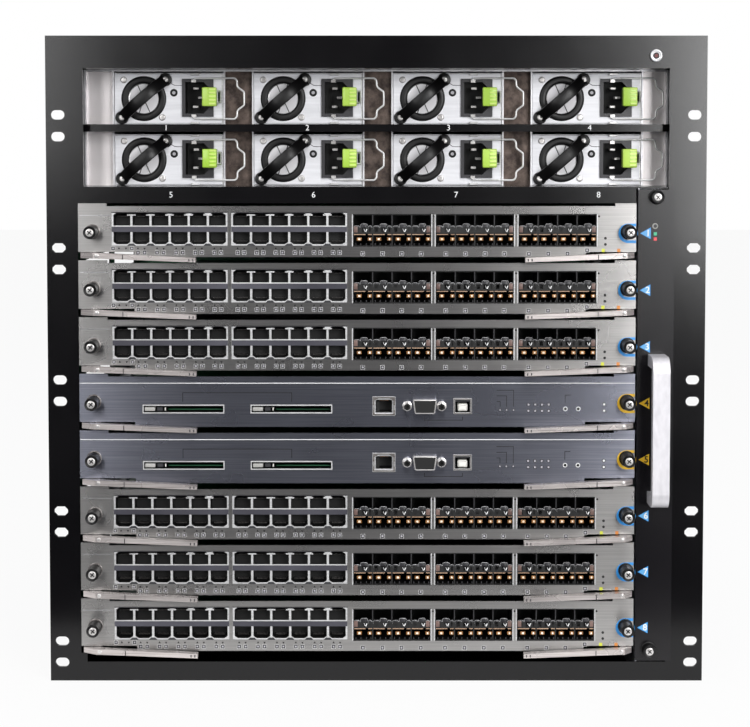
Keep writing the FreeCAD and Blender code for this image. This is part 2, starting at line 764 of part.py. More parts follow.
# Block of sockets: a housing with one cavity for each column, and a band across the middle
def socket_block(name, pitch, wide, edge, low, top, deep, sunk, columns, cavity):
    body = new_body(name + "_housing")
    span = "(%d*%s + %s + 2*%s)" % (columns - 1, pitch, wide, edge)
    front = "(plate_thick - front_sunk - band_thick)"
    face = outline(
        body, name + "_outline", "XZ_Plane", [rectangle("0", low, span, top)], front
    )
    pad(body, name + "_pad", face, deep, reverse=True)
    opening = outline(body, name + "_opening", "XZ_Plane", [cavity], front)
    column = pocket(body, name + "_cavity", opening, sunk)
    row_of(body, name + "_columns", column, "X_Axis", str(columns),
           "%d*%s" % (columns - 1, pitch))
    middle = "((%s + %s)/2)" % (low, top)
    band = block(
        name + "_band",
        ("0", span),
        ("front_sunk - plate_thick", "band_thick"),
        (middle + " - port_band/2", "port_band"),
    )
    return [body, band]


# Network sockets: each column's cavity narrows to a keyway at its top and bottom
def port_block():
    middle = "((port_top + port_low)/2)"
    left, right = "port_edge", "port_edge + port_wide"
    shoulder = "(port_band/2 + port_high)"
    key = "(port_band/2 + port_high + port_key)"
    cavity = [
        (left + " + port_key_in", "%s - %s" % (middle, key)),
        (right + " - port_key_in", "%s - %s" % (middle, key)),
        (right, "%s - %s" % (middle, shoulder)),
        (right, "%s + %s" % (middle, shoulder)),
        (right + " - port_key_in", "%s + %s" % (middle, key)),
        (left + " + port_key_in", "%s + %s" % (middle, key)),
        (left, "%s + %s" % (middle, shoulder)),
        (left, "%s - %s" % (middle, shoulder)),
    ]
    return socket_block("ports", "port_pitch", "port_wide", "port_edge", "port_low",
                        "port_top", "port_deep", "port_sunk", 6, cavity)


# Module cages: plain cavities between thin walls
def cage_block():
    middle = "((cage_top + board_top)/2)"
    half = "(port_band/2 + cage_high)"
    cavity = rectangle(
        "cage_edge",
        "%s - %s" % (middle, half),
        "cage_edge + cage_wide",
        "%s + %s" % (middle, half),
    )
    return socket_block("cages", "cage_pitch", "cage_wide", "cage_edge", "board_top",
                        "cage_top", "cage_deep", "cage_sunk", 4, cavity)


# Face plate: raised end tabs, lever notches, windows, and a boss for each lever
def face_plate(name, windows):
    left, right = "plate_left", "plate_right"
    shoulder = "plate_up + tab_rise"
    notch = "(notch_rise - plate_down)"
    corners = [
        (left, notch),
        ("plate_left + notch_left", notch),
        ("plate_left + notch_left", "-plate_down"),
        ("plate_right - notch_right", "-plate_down"),
        ("plate_right - notch_right", notch),
        (right, notch),
        (right, shoulder),
        ("plate_right - tab_right", shoulder),
        ("plate_right - tab_right", "plate_up"),
        ("plate_left + tab_left", "plate_up"),
        ("plate_left + tab_left", shoulder),
        (left, shoulder),
    ]
    plate = front_prism(name, corners, "-plate_thick", "plate_thick", windows)
    pieces = [plate]
    for word, pivot in (("left", "pivot_left"), ("right", "pivot_right")):
        pieces.append(
            block(
                "%s_boss_%s" % (name, word),
                (pivot + " - boss_size/2", "boss_size"),
                ("-plate_thick/2", "plate_thick/2 + boss_size/2"),
                (notch, "boss_high"),
            )
        )
    return fuse(name + "_folded", pieces)


def card_board(name):
    board = block(
        name,
        ("board_left", "board_right - board_left"),
        ("0", "board_deep"),
        ("board_top - board_thick", "board_thick"),
    )
    plug = block(
        name + "_plug",
        ("(board_left + board_right)/2 - plug_wide/2", "plug_wide"),
        ("board_deep - plug_deep", "plug_deep"),
        ("board_top", "plug_high - board_thick"),
    )
    return fuse(name + "_with_plug", [board, plug])


def captive_screws():
    return [
        many_sided(
            "captive_screw_" + word,
            KNOB_SIDES,
            "screw_radius",
            "screw_long",
            x,
            "-plate_thick - screw_long",
            "0",
            TOWARDS_BACK,
        )
        for word, x in (("left", "screw_left"), ("right", "screw_right"))
    ]


# Line card: plate, board, two port blocks and three cage blocks
def line_card_pieces(screws):
    ports, cages = port_block(), cage_block()
    port_span = "(5*port_pitch + port_wide + 2*port_edge)"
    cage_span = "(3*cage_pitch + cage_wide + 2*cage_edge)"
    windows, pieces = [], []
    for index in range(2):
        start = "(ports_left + %d*ports_step)" % index
        windows.append(
            rectangle(
                start + " - window_gap",
                "port_low - window_gap",
                "%s + %s + window_gap" % (start, port_span),
                "port_top + window_gap",
            )
        )
        pieces.append(group("ports_%d" % index, ports, x=start))
    for index in range(3):
        start = "(cages_left + %d*cages_step)" % index
        windows.append(
            rectangle(
                start + " - window_gap",
                "board_top",
                "%s + %s + window_gap" % (start, cage_span),
                "cage_top + window_gap",
            )
        )
        pieces.append(group("cages_%d" % index, cages, x=start))
    return [face_plate("line_plate", windows), card_board("line_board"), *pieces, *screws]


# Management card: memory slots, network socket, serial connector and data socket
def management_pieces(screws):
    windows, pieces = [], []

    def socket(name, x, z, wide, high, deep, sunk, wall):
        left = "(%s - (%s)/2)" % (x, wide)
        low = "(%s - (%s)/2)" % (z, high)
        shell = block(
            name,
            (left + " - " + wall, "%s + 2*%s" % (wide, wall)),
            ("front_sunk - plate_thick", deep),
            (low + " - " + wall, "%s + 2*%s" % (high, wall)),
        )
        room = block(
            name + "_room",
            (left, wide),
            ("-2*plate_thick", "%s + 2*plate_thick" % sunk),
            (low, high),
        )
        windows.append(
            rectangle(
                left + " - %s - window_gap" % wall,
                low + " - %s - window_gap" % wall,
                "%s + %s + %s + window_gap" % (left, wide, wall),
                "%s + %s + %s + window_gap" % (low, high, wall),
            )
        )
        pieces.append(cut(name + "_shell", shell, room))

    for index in range(2):
        socket(
            "memory_%d" % index,
            "(memory_first + %d*memory_step + memory_wide/2)" % index,
            "memory_z",
            "memory_wide",
            "memory_high",
            "memory_deep + memory_wall",
            "memory_deep",
            "memory_wall",
        )
    socket(
        "console",
        "console_x",
        "console_z",
        "port_wide",
        "port_high + port_key",
        "port_deep",
        "port_sunk",
        "(console_size - port_wide)/2",
    )
    socket(
        "square",
        "square_x",
        "console_z",
        "square_wide - 2*memory_wall",
        "square_high - 2*memory_wall",
        "port_deep",
        "port_sunk",
        "memory_wall",
    )
    half, tall = "serial_wide/2", "serial_high/2"
    shell = front_prism(
        "serial_shell",
        [
            ("serial_x - %s + serial_slant" % half, "console_z - " + tall),
            ("serial_x + %s - serial_slant" % half, "console_z - " + tall),
            ("serial_x + " + half, "console_z + " + tall),
            ("serial_x - " + half, "console_z + " + tall),
        ],
        "-plate_thick - serial_out",
        "serial_out",
    )
    return [face_plate("management_plate", windows), card_board("management_board"), shell,
            *pieces, *screws]


# Cards in their slots, each master built once and set at its slot's height
def cards():
    screws = captive_screws()
    masters = {False: line_card_pieces(screws), True: management_pieces(screws)}
    for slot in range(1, SLOTS + 1):
        special = slot in MANAGEMENT_SLOTS
        node("%s_%d" % (CARD_WORD[special], slot), masters[special], z=card_z(slot))


# Ejector lever: a claw behind the plate's edge and an arm that slopes down to its tip
def lever_master(word, sign, claw):
    other = "-" if sign == "" else ""
    low = "(-lever_top - lever_high)"
    tip = "%sarm_long" % sign
    root = "%sroot_half" % sign
    front = [
        (other + claw, low),
        (root, low),
        (tip, "-lever_top - arm_drop - arm_high"),
        (tip, "-lever_top - arm_drop"),
        (root, "-lever_top"),
        (other + claw, "-lever_top"),
    ]
    bar = front_prism("lever_bar_" + word, front, "-arm_front", "arm_front + claw_back")
    plan = [
        (root, "arm_wide - arm_front"),
        ("%s(arm_long + 1)" % sign, "arm_wide - arm_front"),
        ("%s(arm_long + 1)" % sign, "claw_back + 1"),
        (root, "claw_back + 1"),
    ]
    floor = "-lever_top - arm_drop - arm_high - 1"
    tall = "arm_drop + arm_high + lever_high"
    behind = plan_prism("lever_behind_" + word, plan, floor, tall)
    corner = [
        ("%s(%s + 1)" % (other, claw), "-arm_front - 1"),
        ("%s(root_half/2)" % sign, "-arm_front - 1"),
        ("%s(%s + 1)" % (other, claw), "-plate_thick - 1"),
    ]
    outside = plan_prism("lever_outside_" + word, corner, floor, tall)
    return cut("lever_" + word, bar, group("lever_cuts_" + word, [behind, outside]))


def levers():
    sides = (
        ("left", "", "claw_left", "pivot_left"),
        ("right", "-", "claw_right", "pivot_right"),
    )
    for word, sign, claw, pivot in sides:
        master = lever_master(word, sign, claw)
        for slot in range(1, SLOTS + 1):
            node("ejector_%s_%d" % (word, slot), [master], x=pivot, z=card_z(slot))


# Power supply: case with fan opening and hub, strap handle, mains inlet and bail clips
def supply_pieces():
    middle = "(power_high/2)"
    case = block("supply_case", ("0", "power_wide"), ("0", "power_deep"), ("0", "power_high"))
    inlet_low = "(%s + inlet_drop - inlet_high/2)" % middle
    room = block(
        "inlet_room",
        ("inlet_x + inlet_flange", "inlet_wide - 2*inlet_flange"),
        ("-1", "inlet_deep + 1"),
        (inlet_low + " + inlet_flange", "inlet_high - 2*inlet_flange"),
    )
    stem_left = "(power_wide - stem_wide - inlet_flange)"
    slot = block(
        "latch_slot",
        (stem_left + " - latch_travel - fit_gap", "stem_wide + latch_travel + 2*fit_gap"),
        ("-1", "stem_sunk + fit_gap + 1"),
        ("%s + latch_z - stem_high/2 - fit_gap" % middle, "stem_high + 2*fit_gap"),
    )
    well = many_sided(
        "fan_well", FAN_SIDES, "fan_radius", "fan_sunk + 1", "fan_x", "-1", middle, TOWARDS_BACK
    )
    hub = many_sided(
        "fan_hub",
        FAN_SIDES,
        "hub_radius",
        "fan_sunk - hub_low",
        "fan_x",
        "hub_low",
        middle,
        TOWARDS_BACK,
    )
    hollow = cut("supply_hollow", case, group("supply_cuts", [room, slot, well]))
    body = fuse("supply_body", [hollow, hub])
    span = "strap_span/2"
    arch = [
        ("-" + span, "0"),
        ("-" + span, "-strap_thick"),
        ("2*strap_foot - %s" % span, "-strap_reach"),
        ("%s - 2*strap_foot" % span, "-strap_reach"),
        (span, "-strap_thick"),
        (span, "0"),
        ("%s - 2*strap_foot" % span, "strap_thick - strap_reach"),
        ("2*strap_foot - %s" % span, "strap_thick - strap_reach"),
    ]
    strap_flat = plan_prism("strap_flat", arch, "-strap_wide/2", "strap_wide")
    strap = group("strap_handle", [strap_flat], "fan_x", "0", middle)
    strap.Placement.Rotation = FreeCAD.Rotation(FreeCAD.Vector(0, -1, 0), 1)
    bind(strap, {"Placement.Rotation.Angle": "strap_tilt"})
    left, right = "inlet_x", "inlet_x + inlet_wide"
    flange = block(
        "inlet_flange_plate",
        (left, "inlet_wide"),
        ("-inlet_flange", "inlet_flange"),
        (inlet_low, "inlet_high"),
    )
    housing = block(
        "inlet_housing",
        ("inlet_x + inlet_flange", "inlet_wide - 2*inlet_flange"),
        ("0", "inlet_deep"),
        (inlet_low + " + inlet_flange", "inlet_high - 2*inlet_flange"),
    )
    cavity = front_prism(
        "inlet_cavity_cut",
        [
            (left + " + inlet_rim", inlet_low + " + inlet_rim"),
            (right + " - inlet_rim - inlet_bevel", inlet_low + " + inlet_rim"),
            (right + " - inlet_rim", inlet_low + " + inlet_rim + inlet_bevel"),
            (right + " - inlet_rim", inlet_low + " + inlet_high - inlet_rim - inlet_bevel"),
            (right + " - inlet_rim - inlet_bevel", inlet_low + " + inlet_high - inlet_rim"),
            (left + " + inlet_rim", inlet_low + " + inlet_high - inlet_rim"),
        ],
        "-2*inlet_flange",
        "inlet_cavity + 2*inlet_flange",
    )
    inlet = cut("mains_inlet", fuse("inlet_solid", [flange, housing]), cavity)
    clips = [
        block(
            "bail_clip_" + word,
            ("bail_x - clip_size/2", "clip_size"),
            ("-bail_y - clip_size/2", "bail_y + clip_size/2"),
            (low, "clip_high"),
        )
        for word, low in (
            ("low", "%s - bail_half + wire + fit_gap" % middle),
            ("high", "%s + bail_half - wire - fit_gap - clip_high" % middle),
        )
    ]
    return [body, strap, inlet, *clips]


# Release latch: a pad in front of the face and a sheet arm bent into the supply's slot
def latch_master():
    low = "(power_high/2 + latch_z - latch_high/2)"
    arm_low = "(power_high/2 + latch_z - stem_high/2)"
    arm_front = "(latch_pad - latch_arm - latch_reach)"
    pad_block = block(
        "latch_pad_block",
        ("latch_x", "latch_wide"),
        ("-latch_reach", "latch_pad"),
        (low, "latch_high"),
    )
    arm = block(
        "latch_arm_sheet",
        ("latch_x + latch_wide/2", "power_wide - inlet_flange - latch_x - latch_wide/2"),
        (arm_front, "latch_arm"),
        (arm_low, "stem_high"),
    )
    stem = block(
        "latch_stem",
        ("power_wide - stem_wide - inlet_flange", "stem_wide"),
        (arm_front, "stem_sunk - " + arm_front),
        (arm_low, "stem_high"),
    )
    return fuse("latch", [pad_block, arm, stem])


# Cord bail: one square wire, bent to its route with mitred corners
def bail_master():
    upper = [
        ("0", "bail_half - wire"),
        ("0", "bail_half"),
        ("bail_long", "bail_half"),
        ("bail_out", "bail_drop"),
        ("bail_out", "bump_start"),
        ("bail_bump", "bump_half"),
    ]
    route = upper + [(across, "-(%s)" % height) for across, height in reversed(upper)]
    spots = [FreeCAD.Vector(value_of(u), 0, value_of(v)) for u, v in route]
    thick = value_of("wire")
    corner = FreeCAD.Vector(thick / 2, thick / 2, 0)
    square = [
        spots[0] + FreeCAD.Vector(u * corner.x, v * corner.y, 0)
        for u, v in ((1, 1), (-1, 1), (-1, -1), (1, -1), (1, 1))
    ]
    path = Part.makePolygon(spots)
    solid = path.makePipeShell([Part.makePolygon(square)], True, False, 1)
    item = doc.addObject("Part::Feature", "bail_wire")
    item.Shape = solid
    return item


def supplies():
    pieces, latch, bail = supply_pieces(), latch_master(), bail_master()
    number = 0
    for row in range(2):
        for column in range(POWER_COLUMNS):
            number += 1
            x, z = power_x(column), bay_z(row)
            node("power_supply_%d" % number, pieces, x, "power_front", z)
            node("supply_latch_%d" % number, [latch], x, "power_front", z)
            node(
                "cord_bail_%d" % number,
                [bail],
                x + " + bail_x",
                "power_front - bail_y",
                z + " + power_high/2",
            )


# Tray fan: a square frame with a duct and a spider, and a rotor with its blades
def tray_fan():
    body = new_body("fan_frame")
    half = "rotor_size/2"
    frame = outline(
        body,
        "fan_frame_outline",
        "YZ_Plane",
        [rectangle("-" + half, "-" + half, half, half)],
    )
    pad(body, "fan_frame_pad", frame, "rotor_thick")
    duct = many_sided(
        "fan_duct", TRAY_FAN_SIDES, "rotor_radius", "rotor_thick + 2", "-1", "0", "0", TOWARDS_RIGHT
    )
    spider = block(
        "fan_spider",
        ("0", "blade_thick"),
        ("-rotor_radius - 1", "2*rotor_radius + 2"),
        ("-rotor_hub/2", "rotor_hub"),
    )
    return fuse("fan_housing", [cut("fan_ring", body, duct), spider])


def tray_rotor():
    hub = many_sided(
        "rotor_hub_prism",
        TRAY_FAN_SIDES,
        "rotor_hub",
        "rotor_thick - 2*blade_thick - fit_gap",
        "blade_thick + fit_gap",
        "0",
        "0",
        TOWARDS_RIGHT,
    )
    blades = []
    count = int(value_of("blade_count"))
    for index in range(count):
        blade = block(
            "rotor_blade_%d" % index,
            ("blade_thick + 2*fit_gap", "rotor_thick - 4*blade_thick"),
            ("0", "rotor_radius*0.95"),
            ("-blade_thick/2", "blade_thick"),
        )
        turned = group("rotor_blade_turned_%d" % index, [blade])
        turned.Placement.Rotation = FreeCAD.Rotation(
            FreeCAD.Vector(1, 0, 0), index * 360.0 / count
        )
        blades.append(turned)
    return fuse("fan_rotor", [hub, *blades])


# Fan tray: front panel, backing sheet with four fans, and two captive screws
def fan_tray():
    panel = block(
        "tray_panel",
        ("tray_left", "tray_right - tray_left"),
        ("-steel", "steel"),
        ("tray_bottom", "tray_top - tray_bottom"),
    )
    low, high = "(tray_bottom + fit_gap)", "(tray_top - 2*fit_gap)"
    left = "(divider_x + sheet + fit_gap)"
    backing = block(
        "tray_backing",
        (left, "sheet"),
        ("0", "tray_deep"),
        (low, high + " - " + low),
    )
    fan, rotor = tray_fan(), tray_rotor()
    holes, pieces = [], []
    centre = "((tray_bottom + tray_top)/2)"
    for row in range(2):
        for column in range(2):
            spot = (
                left + " + sheet",
                "rotor_first_y + %d*rotor_column" % column,
                "%s + %d*rotor_pitch - rotor_pitch/2" % (centre, row),
            )
            tag = "%d_%d" % (row, column)
            holes.append(
                block(
                    "backing_hole_" + tag,
                    (left + " - 1", "sheet + 2"),
                    ("%s - rotor_radius*0.7" % spot[1], "rotor_radius*1.4"),
                    ("%s - rotor_radius*0.7" % spot[2], "rotor_radius*1.4"),
                )
            )
            pieces.append(group("fan_%s" % tag, [fan, rotor], *spot))
    frame = fuse("tray_frame", [panel, cut("tray_sheet", backing, group("backing_holes", holes))])
    screws = [
        many_sided(
            "tray_screw_" + word,
            KNOB_SIDES,
            "screw_radius - 1",
            "screw_long/2",
            "(tray_left + tray_right)/2 - 1",
            "-steel - screw_long/2",
            z,
            TOWARDS_BACK,
        )
        for word, z in (("low", "tray_bottom + 8.6"), ("high", "tray_top - 5.4"))
    ]
    node("fan_tray", [frame, *pieces, *screws])


# Fillet on the edges that run across a body at one depth
def round_across(body, base, name, depth, radius):
    doc.recompute()
    edges = [
        "Edge%d" % index
        for index, edge in enumerate(body.Shape.Edges, start=1)
        if edge.BoundBox.XLength > 1 and edge.BoundBox.YLength + edge.BoundBox.ZLength < 0.01
        and abs(edge.CenterOfMass.y - depth) < 0.01
    ]
    fillet = body.newObject("PartDesign::Fillet", name)
    fillet.Base = (base, edges)
    bind(fillet, {"Radius": radius})
    body.Tip = fillet


# Handle: a bow with round shoulders, cast in one piece
def fan_tray_handle():
    body = new_body("bow_handle")
    back, front = "-steel", "-steel - grip_reach"
    bow = outline(
        body,
        "bow_outline",
        "YZ_Plane",
        [
            [
                (back, "grip_bottom"),
                (back, "grip_bottom + grip_bar"),
                (front + " + grip_bar", "grip_bottom + grip_bar"),
                (front + " + grip_bar", "grip_top - grip_bar"),
                (back, "grip_top - grip_bar"),
                (back, "grip_top"),
                (front, "grip_top"),
                (front, "grip_bottom"),
            ]
        ],
        "grip_x - grip_wide/2",
    )
    bar = pad(body, "bow_pad", bow, "grip_wide")
    reach = value_of(front)
    round_across(body, bar, "bow_shoulders", reach, "grip_round")
    node("fan_tray_handle", [body])


chassis_case()
top_cover()
rear_cover()
rack_ear("left", "-")
rack_ear("right", "+")
header_panel()
power_shelf()
power_cage()
midplane()
card_guides()
cards()
levers()
supplies()
fan_tray()
fan_tray_handle()

doc.recompute()
for item in doc.Objects:
    if "Invalid" in item.State or "Error" in item.State:
        raise RuntimeError(item.Name + " failed: " + ", ".join(item.State))
for item in nodes:
    if item.Shape.isNull() or not item.Shape.isValid() or not item.Shape.Solids:
        raise RuntimeError(item.Label + " has no valid shape")

os.makedirs("parts", exist_ok=True)
for item in nodes:
    item.Shape.exportStep("parts/%s.step" % item.Label)
print(len(nodes), "nodes,", sum(len(item.Shape.Solids) for item in nodes), "solids")
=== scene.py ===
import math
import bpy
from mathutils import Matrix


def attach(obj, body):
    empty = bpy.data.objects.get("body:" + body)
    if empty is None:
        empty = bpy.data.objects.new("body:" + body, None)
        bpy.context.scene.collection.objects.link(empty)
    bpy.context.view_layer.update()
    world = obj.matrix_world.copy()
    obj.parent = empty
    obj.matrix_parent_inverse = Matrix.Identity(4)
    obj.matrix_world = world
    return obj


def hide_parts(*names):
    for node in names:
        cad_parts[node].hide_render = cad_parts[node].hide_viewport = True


bl_info = {
    "name": "Modular chassis switch",
    "version": (1, 0, 0),
    "blender": (4, 5, 0),
    "location": "3D View > Sidebar > Chassis",
    "description": "Finishes and details for the rack chassis, its cards, supplies and fan tray",
    "category": "Object",
}

import bpy
from mathutils import Matrix, Vector

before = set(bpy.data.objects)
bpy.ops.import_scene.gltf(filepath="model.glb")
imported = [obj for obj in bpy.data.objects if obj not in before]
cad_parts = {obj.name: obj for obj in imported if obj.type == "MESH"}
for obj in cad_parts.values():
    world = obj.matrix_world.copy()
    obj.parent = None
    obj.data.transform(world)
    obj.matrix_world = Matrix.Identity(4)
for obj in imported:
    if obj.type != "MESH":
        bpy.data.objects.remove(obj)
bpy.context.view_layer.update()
MM = 0.001
GROUPS = {}
FINISHES = {}

# ---- Sizes and places on the object, in millimetres
CARD_SLOTS = range(1, 9)
LINE_SLOTS = (1, 2, 3, 6, 7, 8)
MANAGEMENT_SLOTS = (4, 5)
TOP_CARD_Z, CARD_PITCH = 333.2, 41.7
PLATE_FRONT, PLATE_MIDDLE, PLATE_RIGHT_X = -2.0, -1.0, 189.9
PRINT_FRONT, PRINT_BACK = PLATE_FRONT - 0.08, PLATE_FRONT + 0.1
BOARD_LOW, BOARD_TOP = -12.7, -10.9
SCREW_LEFT_X, SCREW_RIGHT_X, SCREW_RADIUS = -207.5, 184.1, 4.5
RING_DROP = 1.2
SOCKET_PITCH, SOCKET_WIDE = 13.97, 11.9
BLOCK_LEFT_X, BLOCK_PITCH = -193.4, 87.4
CAGE_PITCH, CAGE_WIDE = 14.25, 13.3
CAGES_LEFT_X, CAGES_PITCH = -17.2, 60.5
LEVER_LEFT_X, LEVER_RIGHT_X = -206.5, 183.5
SUPPLIES = range(1, 9)
SUPPLY_COLUMNS = 4
SUPPLY_LEFT_X, SUPPLY_PITCH = -195.6, 104.2
SUPPLY_FRONT_Y, SUPPLY_ROWS_Z = 40.0, (412.0, 366.3)
SUPPLY_MIDDLE = 19.0
FAN_X = 21.7
JACK_X, JACK_Z = 203.7, 461.4


def card_z(slot):
    """The middle height of a slot."""
    return TOP_CARD_Z - CARD_PITCH * (slot - 1)


def supply_place(number):
    """The lower left corner of a supply's face."""
    row, column = divmod(number - 1, SUPPLY_COLUMNS)
    return SUPPLY_LEFT_X + SUPPLY_PITCH * column, SUPPLY_FRONT_Y, SUPPLY_ROWS_Z[row]


def slot_colour(slot):
    """The print that marks a slot's kind of card."""
    return "print_yellow" if slot in MANAGEMENT_SLOTS else "print_blue"


# ---- Modelling steps
def deselect():
    """Leaves edit mode and selects nothing."""
    if bpy.context.object and bpy.context.object.mode != "OBJECT":
        bpy.ops.object.mode_set(mode="OBJECT")
    bpy.ops.object.select_all(action="DESELECT")


def take(piece):
    """Makes the piece the only selected one and the active one."""
    deselect()
    piece.select_set(True)
    bpy.context.view_layer.objects.active = piece


def settle(piece, name):
    """Names the piece and its mesh, and puts its place and size into the mesh."""
    piece.name = name
    piece.data.name = name
    take(piece)
    bpy.ops.object.transform_apply(location=True, rotation=True, scale=True)
    return piece


def discard(*pieces):
    for piece in pieces:
        bpy.data.objects.remove(piece, do_unlink=True)


def block(name, low, high, bevel=0.0, segments=1):
    """A box between two corners, with its edges bevelled where a width is given."""
    deselect()
    middle = [(a + b) / 2 * MM for a, b in zip(low, high)]
    bpy.ops.mesh.primitive_cube_add(size=1, location=middle)
    piece = bpy.context.object
    piece.scale = [(b - a) * MM for a, b in zip(low, high)]
    settle(piece, name)
    if bevel:
        soften(piece, bevel, segments)
    return piece


def disc(name, centre, radius, front, back, sides=32, tip=None):
    """A round piece along Y, from its front face to its back face."""
    deselect()
    middle = (centre[0] * MM, (front + back) / 2 * MM, centre[1] * MM)
    bpy.ops.mesh.primitive_cone_add(
        vertices=sides,
        radius1=radius * MM,
        radius2=(radius if tip is None else tip) * MM,
        depth=(back - front) * MM,
        location=middle,
        rotation=(math.pi / 2, 0, 0),
    )
    return settle(bpy.context.object, name)


def ring(name, centre, radius, thick, y, sides=36, around=10, squash=1.0):
    """A torus about the Y axis, flattened along it by the squash."""
    deselect()
    bpy.ops.mesh.primitive_torus_add(
        major_radius=radius * MM,
        minor_radius=thick * MM,
        major_segments=sides,
        minor_segments=around,
        location=(centre[0] * MM, y * MM, centre[1] * MM),
        rotation=(math.pi / 2, 0, 0),
    )
    piece = bpy.context.object
    piece.scale = (1, 1, squash)
    return settle(piece, name)


def soften(piece, width, segments=1, angle=35):
    """Bevels the edges that are sharper than the angle."""
    take(piece)
    edge = piece.modifiers.new("soft_edges", "BEVEL")
    edge.width = width * MM
    edge.segments = segments
    edge.limit_method = "ANGLE"
    edge.angle_limit = math.radians(angle)
    bpy.ops.object.modifier_apply(modifier=edge.name)


def repeat(piece, count, step):
    """Repeats the piece along a step in millimetres."""
    take(piece)
    row = piece.modifiers.new("row", "ARRAY")
    row.count = count
    row.use_relative_offset = False
    row.use_constant_offset = True
    row.constant_offset_displace = [s * MM for s in step]
    bpy.ops.object.modifier_apply(modifier=row.name)
    return piece


def combine(piece, other, operation):
    """Applies a boolean with the other piece, which is used up."""
    take(piece)
    both = piece.modifiers.new("both", "BOOLEAN")
    both.operation = operation
    both.solver = "EXACT"
    both.object = other
    bpy.ops.object.modifier_apply(modifier=both.name)
    discard(other)
    return piece


def carve(piece, cutter):
    """Cuts the cutter's shape out of the piece."""
    return combine(piece, cutter, "DIFFERENCE")


def fuse(piece, other):
    """Makes one closed shape of both."""
    return combine(piece, other, "UNION")


def join(pieces, name):
    """Puts the pieces into one mesh, each with its own faces."""
    deselect()
    for piece in pieces:
        piece.select_set(True)
    bpy.context.view_layer.objects.active = pieces[0]
    if len(pieces) > 1:
        bpy.ops.object.join()
    return settle(bpy.context.object, name)


def pick(piece, test):
    """Selects the faces whose middle and normal pass the test, and enters edit mode."""
    take(piece)
    mesh = piece.data
    for vertex in mesh.vertices:
        vertex.select = False
    for edge in mesh.edges:
        edge.select = False
    for face in mesh.polygons:
        face.select = bool(test(face.center / MM, face.normal))
    bpy.context.tool_settings.mesh_select_mode = (False, False, True)
    bpy.ops.object.mode_set(mode="EDIT")


def done():
    """Leaves edit mode."""
    bpy.ops.object.mode_set(mode="OBJECT")


def faces_front(centre, normal):
    return normal.y < -0.9


def inset_faces(piece, test, *steps, each=False):
    """Insets the faces that pass the test, by the width and depth of each step."""
    pick(piece, test)
    for width, depth in steps:
        bpy.ops.mesh.inset(thickness=width * MM, depth=depth * MM, use_individual=each)
    done()


def turn(piece, degrees, axis, pivot):
    """Turns the mesh about a point in millimetres."""
    around = Vector([v * MM for v in pivot])
    spin = Matrix.Rotation(math.radians(degrees), 4, axis)
    piece.data.transform(Matrix.Translation(around) @ spin @ Matrix.Translation(-around))
    piece.data.update()
    return piece


def copy_to(piece, name, move):
    """A copy with its own mesh, moved by millimetres."""
    take(piece)
    bpy.ops.object.duplicate(linked=False)
    made = bpy.context.object
    made.location = [m * MM for m in move]
    return settle(made, name)


def smooth(piece, angle=32):
    """Shades the piece smooth, with edges sharper than the angle kept."""
    take(piece)
    bpy.ops.object.shade_smooth_by_angle(angle=math.radians(angle))
    return piece


def paint(piece, *names, by=None):
    """Gives the piece the finishes named, and each face the one whose place by() returns."""
    piece.data.materials.clear()
    for name in names:
        piece.data.materials.append(FINISHES[name])
    for face in piece.data.polygons:
        face.material_index = by(face.center / MM, face.normal) if by else 0
    return piece


# ---- Shared effects
def group_of(name, inputs, outputs):
    """A new node group with its sockets, and its input and output nodes."""
    made = bpy.data.node_groups.new(name, "ShaderNodeTree")
    for label, kind, value in inputs:
        socket = made.interface.new_socket(label, in_out="INPUT", socket_type=kind)
        socket.default_value = value
    for label, kind in outputs:
        made.interface.new_socket(label, in_out="OUTPUT", socket_type=kind)
    return made, made.nodes.new("NodeGroupInput"), made.nodes.new("NodeGroupOutput")


def link(tree, start, end):
    tree.links.new(start, end)


def grain_group():
    """Fine even grain, as powder coat and moulded plastic have."""
    made, given, out = group_of(
        "fine_grain",
        [("Scale", "NodeSocketFloat", 900.0), ("Depth", "NodeSocketFloat", 0.1)],
        [("Height", "NodeSocketFloat"), ("Patch", "NodeSocketFloat")],
    )
    place = made.nodes.new("ShaderNodeTexCoord")
    fine = made.nodes.new("ShaderNodeTexNoise")
    fine.inputs["Detail"].default_value = 3
    link(made, place.outputs["Object"], fine.inputs["Vector"])
    link(made, given.outputs["Scale"], fine.inputs["Scale"])
    level = made.nodes.new("ShaderNodeMath")
    level.operation = "MULTIPLY"
    link(made, fine.outputs["Fac"], level.inputs[0])
    link(made, given.outputs["Depth"], level.inputs[1])
    link(made, level.outputs[0], out.inputs["Height"])
    patch = made.nodes.new("ShaderNodeTexNoise")
    patch.inputs["Scale"].default_value = 14
    patch.inputs["Detail"].default_value = 4
    link(made, place.outputs["Object"], patch.inputs["Vector"])
    link(made, patch.outputs["Fac"], out.inputs["Patch"])
    return made


